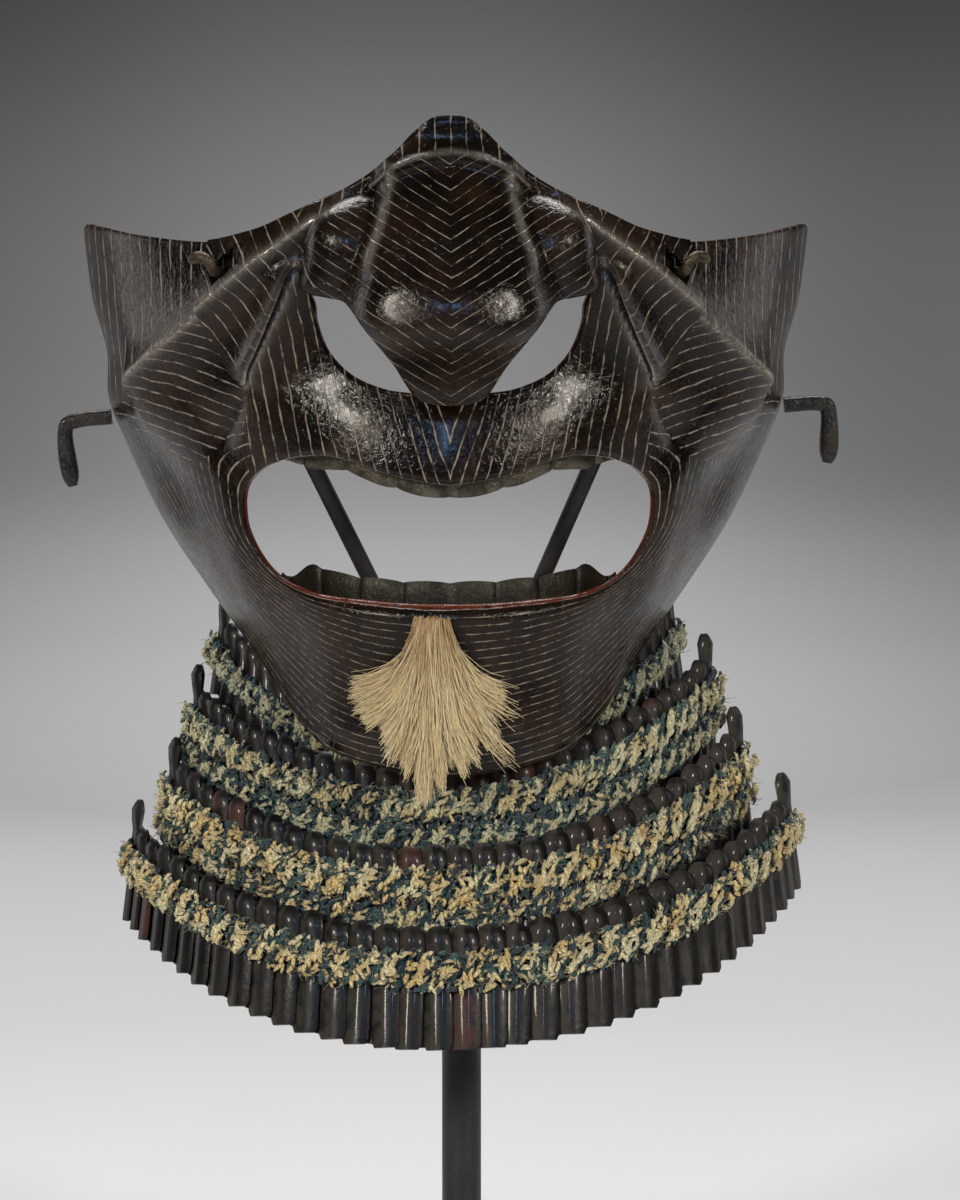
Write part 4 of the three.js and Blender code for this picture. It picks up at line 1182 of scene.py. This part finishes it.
# ---- teeth --------------------------------------------------------------------------------------------
# name, reach, tooth width, root, tip, scallop, up or down
TEETH = [("upper_teeth", 29, 11.2, 3.2, -2.5, 0.7, 1), ("lower_teeth", 31, 10.3, -3.2, 5.6, 0.6, -1)]
UPPER_LIP = SPOKES[:12, :2]
LOWER_LIP = SPOKES[:15:-1, :2]
TOOTH_DEPTH = 4.9
teeth = []
for name, reach, tooth, root_at, tip, scallop, sign in TEETH:
    lips = UPPER_LIP if sign > 0 else LOWER_LIP
    degrees = np.linspace(-reach, reach, 260)
    lip = smooth_columns(lips[:, 0], lips[:, 1:], np.abs(degrees))[..., 0]
    wave = np.abs(np.sin(degrees * ARC / tooth * math.pi))
    taper = ease((np.abs(degrees) / reach - 0.75) / 0.25)
    low = lip + (tip - sign * scallop * wave**0.6) * mix(1, -0.15, taper)
    steps = np.array([0, 0.2, 0.4, 0.6, 0.75, 0.87, 0.95, 1.0])
    height = mix((lip + root_at)[:, None], low[:, None], steps[None, :])
    groove = 0.75 * np.exp(-wave / 0.16)[:, None] * (0.35 + 0.65 * steps[None, :])
    tipped = 0.35 * ease((steps - 0.8) / 0.2)[None, :]
    radius = face_radius(degrees, lip)[:, None] - TOOTH_DEPTH
    front = on_face(degrees[:, None] + 0 * height, height, radius - groove - tipped)
    behind = on_face(degrees[:, None] + 0 * height, height, radius - 0.8 + 0 * height)
    strip = piece(
        name + "_strip",
        np.concatenate([front.reshape(-1, 3), behind.reshape(-1, 3)]),
        wall_faces(len(front), len(steps), len(steps), False),
        TEETH_SILVER if sign > 0 else LOWER_SILVER,
    )
    smooth(strip, 40)
    teeth.append(strip)

# ---- cheek hooks --------------------------------------------------------------------------------------
HOOK_DEGREES = 80
HOOK_CLEAR = 1.05
HOOK_STEPS = [0, 1, 1.35, 1.7, 2.7, 2.9]
# out from the cheek, up, width, height, at each of the steps
LEFT_HOOK = [
    (0, 0, 3.4, 4.4),
    (7.6, 0.4, 3.4, 3.9),
    (9.4, 0, 3.6, 3.8),
    (9.9, -1.8, 3.6, 3.8),
    (9.8, -11.6, 3.4, 3.8),
    (9.6, -12.8, 2.2, 2.6),
]
RIGHT_HOOK = [
    (0, 0, 3.4, 4),
    (7.8, -0.9, 3.4, 3.7),
    (9.8, -1.7, 3.4, 3.5),
    (10.3, -3.5, 3.4, 3.4),
    (8.9, -14.2, 3.2, 3.2),
    (8.6, -15.4, 2, 2.2),
]
hooks = []
for name, hand, seat_at, table in (("left", 1, -6.1, LEFT_HOOK), ("right", -1, -8.5, RIGHT_HOOK)):
    rows = np.array(table, float)
    rows = smooth_columns(HOOK_STEPS, rows, np.linspace(0, HOOK_STEPS[-1], 40))
    degrees, height = np.array(HOOK_DEGREES, float), np.array(seat_at)
    base = on_face(hand * degrees, height, face_radius(degrees, height) + HOOK_CLEAR)
    path = base + np.stack([hand * rows[:, 0], 0 * rows[:, 0], rows[:, 1]], -1)
    hooks.append(tube("cheek_hook_bar_" + name, path, rows[:, 2:], BLACK_IRON, 20, 0.5, (0, 1, 0)))

# ---- throat guard -------------------------------------------------------------------------------------
# front, side, front flare, side flare, span, scales, top, foot, rise, foot rise, climb, shift, tilt
LAMES = [
    (35.2, 50.8, 9, 2.5, 75, 28, -70, -92, 21.5, 28, 2.6, -0.4, 0.03),
    (50.4, 58.8, 8, 1.2, 73, 31, -80.6, -104.5, 19.2, 20.4, 2.05, 1, 0.062),
    (62.2, 65.4, 8, 2.4, 71.5, 31, -95.8, -119.9, 19.4, 19.6, 2.2, 1.7, 0.053),
    (72.5, 73.8, 8, 2.6, 75.5, 35, -111.4, -135.5, 19.5, 23.3, 2.25, 2.9, 0.044),
]
GUARD_AXIS = -14
# name, lame, from, to, share of blue, paleness
BANDS = [
    ("lacing_1", 1, 0.28, 0.56, 0.45, 0.55),
    ("lacing_2_upper", 2, 0.18, 0.42, 0.4, 0.3),
    ("lacing_2_lower", 2, 0.48, 0.69, 0.62, 0.5),
    ("lacing_3_upper", 3, 0.17, 0.45, 0.32, 0.0),
    ("lacing_3_lower", 3, 0.5, 0.66, 0.5, 0.1),
    ("lacing_4", 4, 0.19, 0.48, 0.32, 0.0),
]


def lame_point(lame, degrees, share, out):
    front_at, side_at, front_flare, side_flare, _, _, top, foot, rise, foot_rise, late, shift, tilt = LAMES[
        lame - 1
    ]
    angle = np.asarray(degrees, float) * DEG
    climb = np.abs(np.sin(angle)) ** late
    x = (side_at + side_flare * share + out) * np.sin(angle)
    y = GUARD_AXIS - (front_at + front_flare * share + out) * np.cos(angle)
    z = mix(top + rise * climb, foot + foot_rise * climb, share) + tilt * x
    return np.stack([x + shift, y + 0 * z, z], axis=-1)


def unit(vectors):
    return vectors / np.linalg.norm(vectors, axis=-1, keepdims=True)


# A scale's section, as shares of its width and of its thickness, from its left edge over the front
BOARD_LOOP = [
    (-0.5, 0.05),
    (-0.45, 0.3),
    (-0.13, 0.93),
    (0.1, 1.0),
    (0.4, 0.5),
    (0.5, 0.05),
    (0.3, -0.45),
    (-0.3, -0.45),
]
LIT_BEVEL_POINTS = (1, 2)
BOARD_THICK = 1.25
HEAD_SWELL = {"at": 2.6, "reach": 2.4, "more": 0.75, "rest": 0.85}
HEM_ROUND = 1.2
HEM_TAPER = 0.18


def scale_board(width, length):
    """One scale, its head's top at the origin: a narrow board with a domed head and a bevel down its left."""
    stations = [0.25, 0.9, 2.2, 4.2, 6.5, length * 0.55, length - HEM_ROUND, length]
    loop = BOARD_LOOP
    points = []
    for down in stations:
        head = math.sqrt(max(0.0, 1 - (1 - min(down / (width * 0.5), 1)) ** 2))
        hem = 1 - HEM_TAPER * max(0.0, (down - length + HEM_ROUND) / HEM_ROUND)
        swell = math.exp(-(((down - HEAD_SWELL["at"]) / HEAD_SWELL["reach"]) ** 2))
        dome = HEAD_SWELL["rest"] + HEAD_SWELL["more"] * swell
        slope = 0.25 + 0.75 * head
        for x, y in loop:
            points.append((x * width * head * hem, -y * BOARD_THICK * dome * slope, -down))
    faces = []
    for r in range(len(stations) - 1):
        for c in range(len(loop)):
            d = (c + 1) % len(loop)
            faces.append(
                [r * len(loop) + c, r * len(loop) + d, (r + 1) * len(loop) + d, (r + 1) * len(loop) + c]
            )
    faces.append(list(range(len(loop)))[::-1])
    faces.append([(len(stations) - 1) * len(loop) + c for c in range(len(loop))])
    mesh = bpy.data.meshes.new("scale_board")
    mesh.from_pydata((np.array(points) / 1000).tolist(), [], faces)
    mesh.update()
    mesh.shade_smooth()
    mesh.set_sharp_from_angle(angle=34 * DEG)
    # The side attribute marks the left bevel, which the lacquer lightens as a painted highlight.
    bevel = mesh.attributes.new("side", "FLOAT", "POINT")
    bevel.data.foreach_set("value", [float(n % len(loop) in LIT_BEVEL_POINTS) for n in range(len(points))])
    made = bpy.data.objects.new("scale_board", mesh)
    bpy.context.collection.objects.link(made)
    return made


HEAD_OVER = 1.0
HEAD_UNEVEN = 0.22
END_SPIKE = 4.4
BOARD_OVERLAP = 1.12
BOARD_LEAN = 0.012
BOARD_SWING = 0.16
lames = []
for number in range(1, 5):
    span, count = LAMES[number - 1][4], LAMES[number - 1][5]
    step = 2 * span / count
    middle = -span + step * (np.arange(count) + 0.5)
    head = lame_point(number, middle, 0, 0.1)
    foot = lame_point(number, middle, 1, 0.1)
    up = unit(head - foot)
    across = unit(lame_point(number, middle + 1, 0.5, 0) - lame_point(number, middle - 1, 0.5, 0))
    head = head + up * (HEAD_OVER + dice.normal(0, HEAD_UNEVEN, count)[:, None])
    head[[0, -1]] += up[[0, -1]] * END_SPIKE
    length = np.linalg.norm(head - foot, axis=1)
    width = np.linalg.norm(lame_point(number, step, 0.5, 1) - lame_point(number, 0, 0.5, 1)) * BOARD_OVERLAP
    board_at = scale_board(width, float(length.mean()))
    tilt = dice.normal(0, BOARD_LEAN, (count, 1))
    up = unit(up + across * tilt)
    out = unit(np.cross(up, across))
    turned = unit(across * math.cos(BOARD_SWING) - out * math.sin(BOARD_SWING))
    fields = {"up": up, "across": turned, "stretch": length / length.mean(), "board": dice.random(count)}
    scales = grown(
        "throat_lame_scales_%d" % number,
        BOARDS,
        head,
        fields,
        Board=board_at,
        Width_Spread=0.05,
        Seed=number,
        Material=SCALE_LACQUER,
    )
    bpy.data.objects.remove(board_at)
    columns = np.linspace(-span, span, 121)[:, None]
    steps = np.linspace(0.04, 0.985, 8)[None, :]
    cover = lame_point(number, columns, steps, -0.35)
    lining = lame_point(number, columns, steps, -1.4)
    backing = piece(
        "lining",
        np.concatenate([cover.reshape(-1, 3), lining.reshape(-1, 3)]),
        wall_faces(121, 8, 8, False),
        SCALE_LACQUER,
    )
    smooth(backing, 40)
    lames.append(joined("throat_lame_scales_%d" % number, [scales, backing]))

# ---- lacing -------------------------------------------------------------------------------------------
# Short bits of yarn lie in all directions over the lumps that the stitches make, cream on the lumps and dark
# blue between them: blue silk, set into the recesses as painted shade. Lengths are in millimetres.
BIT_LEAN = 50 * DEG
BIT_SCATTER = 38 * DEG
LUMP_SLANT = 0.6
THIN_BAND = 4.5
bands = []
for name, number, low_share, high_share, blue_share, pale in BANDS:
    span, count = LAMES[number - 1][4], LAMES[number - 1][5]
    step = 2 * span / count
    top, foot = LAMES[number - 1][6:8]
    tall = top - foot
    thin = (high_share - low_share) * tall < THIN_BAND
    silk = silk_finish("silk_" + name, blue_share, pale)
    many = (22 if thin else 40) * count
    at = dice.uniform(-span, span, many)
    up_band = dice.uniform(-0.06, 1.06, many)
    swell = 0.5 + 0.5 * np.cos((at / step - LUMP_SLANT * up_band) * 2 * math.pi + dice.normal(0, 0.5, many))
    lump = swell * np.sin(math.pi * np.clip(up_band, 0.05, 0.95)) ** 0.5
    share_at = mix(high_share, low_share, up_band)
    out = 1.2 + (1.0 if thin else 1.8) * lump + dice.uniform(0, 0.5, many)
    centre = lame_point(number, at, share_at, out)
    across = unit(lame_point(number, at + 0.5, share_at, out) - lame_point(number, at - 0.5, share_at, out))
    up = unit(lame_point(number, at, share_at - 0.02, out) - lame_point(number, at, share_at + 0.02, out))
    away = unit(np.cross(across, up))
    angle = (BIT_LEAN + BIT_SCATTER * dice.normal(0, 1, many))[:, None]
    along = across * np.cos(angle) + up * np.sin(angle) + away * dice.normal(0, 0.25, (many, 1))
    half = dice.uniform(0.7, 1.6, (many, 1))
    # Cords low between the lumps get a high tint and so the dark blue: painted shade in the recesses, over
    # real blue silk.
    cords = strands(
        name + "_cords", centre - along * half, centre + along * half, away * dice.uniform(
            0.1, 0.7, (many, 1)
        ),
        np.clip(1.05 - 1.2 * lump + dice.normal(0, 0.2, many), 0, 1), dice.uniform(0.75, 1.3, many), silk,
        Segments=4, Sides=5, Radius=0.00048, Pinch=0.5, Waviness=0.0003, Wave_Length=0.0012, Seed=float(
            number
        ),
    )
    columns = np.linspace(-span - 0.3, span + 0.3, 90)[:, None]
    rows = np.linspace(0, 1, 7)[None, :]
    crown = lame_point(number, columns, mix(high_share, low_share, rows), 0.7 + 0.9 * np.sin(math.pi * rows))
    under = lame_point(number, columns, mix(high_share, low_share, rows), 0.4)
    bed = piece(
        name + "_bed", np.concatenate(
            [crown.reshape(-1, 3), under.reshape(-1, 3)]
        ), wall_faces(90, 7, 7, False), silk
    )
    smooth(bed, 40)
    # The bed under the cords takes the dark blue all over: painted shade beneath the cords, over real blue
    # silk.
    attribute(bed, "tint", np.ones(len(bed.data.vertices)))
    many = 28 * count
    at = dice.uniform(-span, span, many)
    share_at = mix(low_share, high_share, dice.uniform(-0.05, 1.05, many))
    begin = lame_point(number, at, share_at, 2.2)
    out = lame_point(number, at, share_at, 3.2) - begin
    stray = dice.normal(0, 0.8, (many, 3)) * (1.1, 0.6, 1.1) + out * dice.uniform(0.3, 1.2, (many, 1))
    fuzz = strands(
        name + "_fuzz", begin, begin + stray, dice.normal(
            0, 0.35, (many, 3)
        ), dice.random(many), np.ones(many), silk,
        Segments=3, Sides=3, Radius=0.0001, Tip_Share=0.4, Waviness=0.0004, Wave_Length=0.002, Seed=3.0,
    )
    bands.append((joined(name + "_stitches", [cords, bed, fuzz]), name))

# ---- chin tuft ----------------------------------------------------------------------------------------
# Locks of the tuft: share of the bristles, middle of the tips across, spread, tip height, spread, sweep
LOCKS = [
    (0.24, -6.0, 1.6, -82.5, 1.8, -1.2),
    (0.13, -2.4, 1.5, -79.5, 2.0, 0.0),
    (0.16, -11.5, 2.2, -74.0, 2.4, -1.0),
    (0.12, -16.5, 2.0, -68.5, 2.0, -1.6),
    (0.06, -20.0, 1.6, -65.0, 1.6, -2.0),
    (0.13, 3.0, 1.7, -76.5, 2.2, 0.8),
    (0.09, 6.8, 1.6, -72.5, 2.4, 1.2),
    (0.05, 9.5, 2.0, -68.5, 2.6, 1.6),
    (0.02, 13.0, 5.0, -70.0, 6.0, 2.0),
]
BRISTLES = 3400
BRISTLES_TO_A_CLUMP = 38
TUFT_ROOT = {"across": -3.9, "left_end": -7.4, "right_end": -0.3, "height": -47.0, "deep": 3.2}
starts, ends, bows, tints = [], [], [], []
for part_of, middle, spread_x, tip_z, spread_z, sweep in LOCKS:
    many = int(part_of * BRISTLES)
    clumps = max(3, many // BRISTLES_TO_A_CLUMP)
    clump = dice.integers(0, clumps, many)
    aside, lower, shade = dice.normal(
        0, 1, clumps
    )[clump], dice.normal(0, 1, clumps)[clump], dice.random(clumps)[clump]
    side = aside + 0.22 * dice.normal(0, 1, many)
    tip_x = middle + side * spread_x
    root_x = TUFT_ROOT["across"] + 0.2 * (middle + 4) + aside + dice.normal(0, 0.5, many)
    root_x = np.clip(root_x, TUFT_ROOT["left_end"], TUFT_ROOT["right_end"])
    tip_height = tip_z + (lower + 0.3 * dice.normal(0, 1, many)) * spread_z + 0.5 * np.abs(side) * spread_z
    tip_height = tip_height + 6 * np.clip(dice.exponential(0.2, many), 0, 2)
    depth = dice.uniform(0, TUFT_ROOT["deep"], many)
    root_deg = np.degrees(np.arcsin(root_x / 82))
    root_at = TUFT_ROOT["height"] + dice.normal(0, 0.5, many)
    begin = on_face(root_deg, root_at, face_radius(root_deg, root_at) + 0.3 + depth * 0.65)
    tip_deg = np.degrees(np.arcsin(tip_x / 84))
    clear = np.maximum(face_radius(tip_deg, np.maximum(tip_height, -71.0)), 79.5)
    end = on_face(tip_deg, tip_height, clear + 0.9 + depth + dice.uniform(0, 0.8, many))
    starts.append(begin)
    ends.append(end)
    run_x = tip_x - root_x
    drawn = np.stack([-0.22 * run_x + 0.6 * sweep * aside, -1.0 - 0.3 * depth, -0.12 * np.abs(run_x)], -1)
    bows.append(drawn + dice.normal(0, 1, (many, 3)) * (0.5, 0.3, 0.3))
    tints.append(np.clip(0.6 * shade + 0.4 * dice.random(many), 0, 1))
starts, ends, bows, tints = (np.concatenate(part) for part in (starts, ends, bows, tints))
tuft = strands(
    "chin_tuft_bristles", starts, ends, bows, tints, dice.uniform(0.6, 1.35, len(starts)), PALE_BRISTLE,
    Segments=8, Sides=3, Radius=0.00015, Tip_Share=0.35, Waviness=0.0011, Wave_Length=0.009,
    Seed=11.0, Apartness=500.0,
)

# ---- stand --------------------------------------------------------------------------------------------
POST_FOOT = np.array([3.0, -36.0, -230.0])
base = tube(
    "stand_base_disc",
    POST_FOOT + np.array([(0, 0, z) for z in (0.0, 0.5, 7.2, 7.75, 8.0)]),
    [(139, 139), (140, 140), (140, 140), (139.4, 139.4), (138, 138)],
    STAND_PAINT, 96, 1.0, (0, 1, 0),
)
post = tube(
    "stand_post",
    POST_FOOT + np.array([(0, 0, z) for z in (8.35, 9.0, 149.5, 150.6, 151.0)]),
    [(8.6, 8.6), (8.6, 8.6), (8.6, 8.6), (8.0, 8.0), (6.6, 6.6)],
    STAND_PAINT, 40, 1.0, (0, 1, 0),
)
arms = [post]
for hand in (1, -1):
    degrees, height = np.array(31.0), np.array(8.0)
    tip = on_face(hand * degrees, height, face_radius(degrees, height) - PLATE - 1.8 - 0.7)
    begin = POST_FOOT + (0, 0, 147)
    path = mix(begin, tip, np.linspace(0, 1, 6)[:, None])
    arms.append(tube("arm", path, [(3.6, 3.6)] * 6, STAND_PAINT, 20, 0.75, (0, 1, 0)))
stand_frame = joined("stand_post_and_arms", arms)

# ---- floor and backdrop -------------------------------------------------------------------------------
# distance from the stand and height, in metres
SWEEP = [
    (0.0, 0.0),
    (0.3, 0.0),
    (0.8, 0.0),
    (1.4, 0.0),
    (2.2, 0.0),
    (2.7, 0.05),
    (3.1, 0.22),
    (3.35, 0.55),
    (3.45, 1.0),
    (3.5, 2.6),
]
SWEEP_RINGS = 60
SWEEP_TURNS = 96
profile = resample(np.array(SWEEP), SWEEP_RINGS)
turns = np.linspace(0, 2 * math.pi, SWEEP_TURNS + 1)[:-1]
rings = np.stack(
    [profile[:, :1] * np.cos(turns), profile[:, :1] * np.sin(turns), profile[:, 1:] + 0 * turns], axis=-1
)
# reach in metres from the stand, and the grey painted on the paper there, standing for how the light falls
# off and pools
PAPER_PAINTED_LIGHT = [(0.25, 0.76), (0.5, 0.56), (0.95, 0.38), (1.6, 0.53), (2.1, 0.74), (2.8, 0.79)]
PAPER_REACH = 4.0
sweep_mesh = bpy.data.meshes.new("studio_sweep")
faces = quads(SWEEP_TURNS, SWEEP_RINGS, True).tolist()
sweep_mesh.from_pydata(rings.transpose(1, 0, 2).reshape(-1, 3).tolist(), [], faces)
sweep_mesh.update()
sweep_mesh.shade_smooth()
sweep = bpy.data.objects.new("studio_sweep", sweep_mesh)
bpy.context.collection.objects.link(sweep)
paper, tree, shader, place = finish("studio_paper")
sweep_mesh.materials.append(paper)
split = node(tree, "ShaderNodeSeparateXYZ", {0: place}).outputs
flat_reach = vector_calc(
    tree, "LENGTH", node(tree, "ShaderNodeCombineXYZ", {"X": split[0], "Y": split[1]}).outputs[0]
)
grey = node(tree, "ShaderNodeValToRGB", {"Fac": calc(tree, "DIVIDE", flat_reach, PAPER_REACH)})
stops = grey.color_ramp.elements
while len(stops) < len(PAPER_PAINTED_LIGHT):
    stops.new(0.5)
for stop, (reach, pale) in zip(stops, PAPER_PAINTED_LIGHT):
    stop.position = reach / PAPER_REACH
    stop.color = (pale, pale, pale * 1.015, 1)
# Painted light and shade on the paper: darker higher up, a painted glow behind the stand, and darker in front
# of it.
higher = ramp(tree, split[2], 0.1, 0.4, 1.0, 0.4)
beside = calc(tree, "ABSOLUTE", split[0])
glow = calc(tree, "MAXIMUM", ramp(tree, beside, 0.03, 0.4, 1.0, 0.55), ramp(tree, flat_reach, 1.6, 0.8))
far = ramp(tree, flat_reach, 0.7, 1.5)
before = calc(tree, "MULTIPLY", far, ramp(tree, split[1], 1.0, -0.4))
shaded = calc(tree, "SUBTRACT", 1.0, calc(tree, "MULTIPLY", before, 0.75))
shaded = calc(tree, "MULTIPLY", shaded, calc(tree, "MULTIPLY", higher, glow))
tone = vector_calc(tree, "SCALE", grey.outputs["Color"], scale=shaded)
tree.links.new(tone, shader.inputs["Base Color"])
shader.inputs["Roughness"].default_value = 0.9
sweep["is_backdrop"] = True

# ---- what stands for what -----------------------------------------------------------------------------
STANDS_FOR = [
    (face_plate, "face_plate", "russet_iron"),
    (nose_piece, "nose_piece", "russet_iron"),
    (pegs[0], "nose_peg_left", "black_iron"),
    (pegs[1], "nose_peg_right", "black_iron"),
    (teeth[0], "upper_teeth", "silvered_teeth"),
    (teeth[1], "lower_teeth", "silvered_teeth"),
    (hooks[0], "cheek_hook_left", "black_iron"),
    (hooks[1], "cheek_hook_right", "black_iron"),
    (tuft, "chin_tuft", "pale_bristle"),
    (base, "stand_base", "stand_steel"),
    (stand_frame, "stand_frame", "stand_steel"),
]
STANDS_FOR += [(made, "throat_lame_%d" % (n + 1), "black_lacquer") for n, made in enumerate(lames)]
STANDS_FOR += [(made, name, "lacing_silk") for made, name in bands]
for made, cad_node, slot_name in STANDS_FOR:
    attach(made, "root")
    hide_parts(cad_node)

low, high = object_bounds()
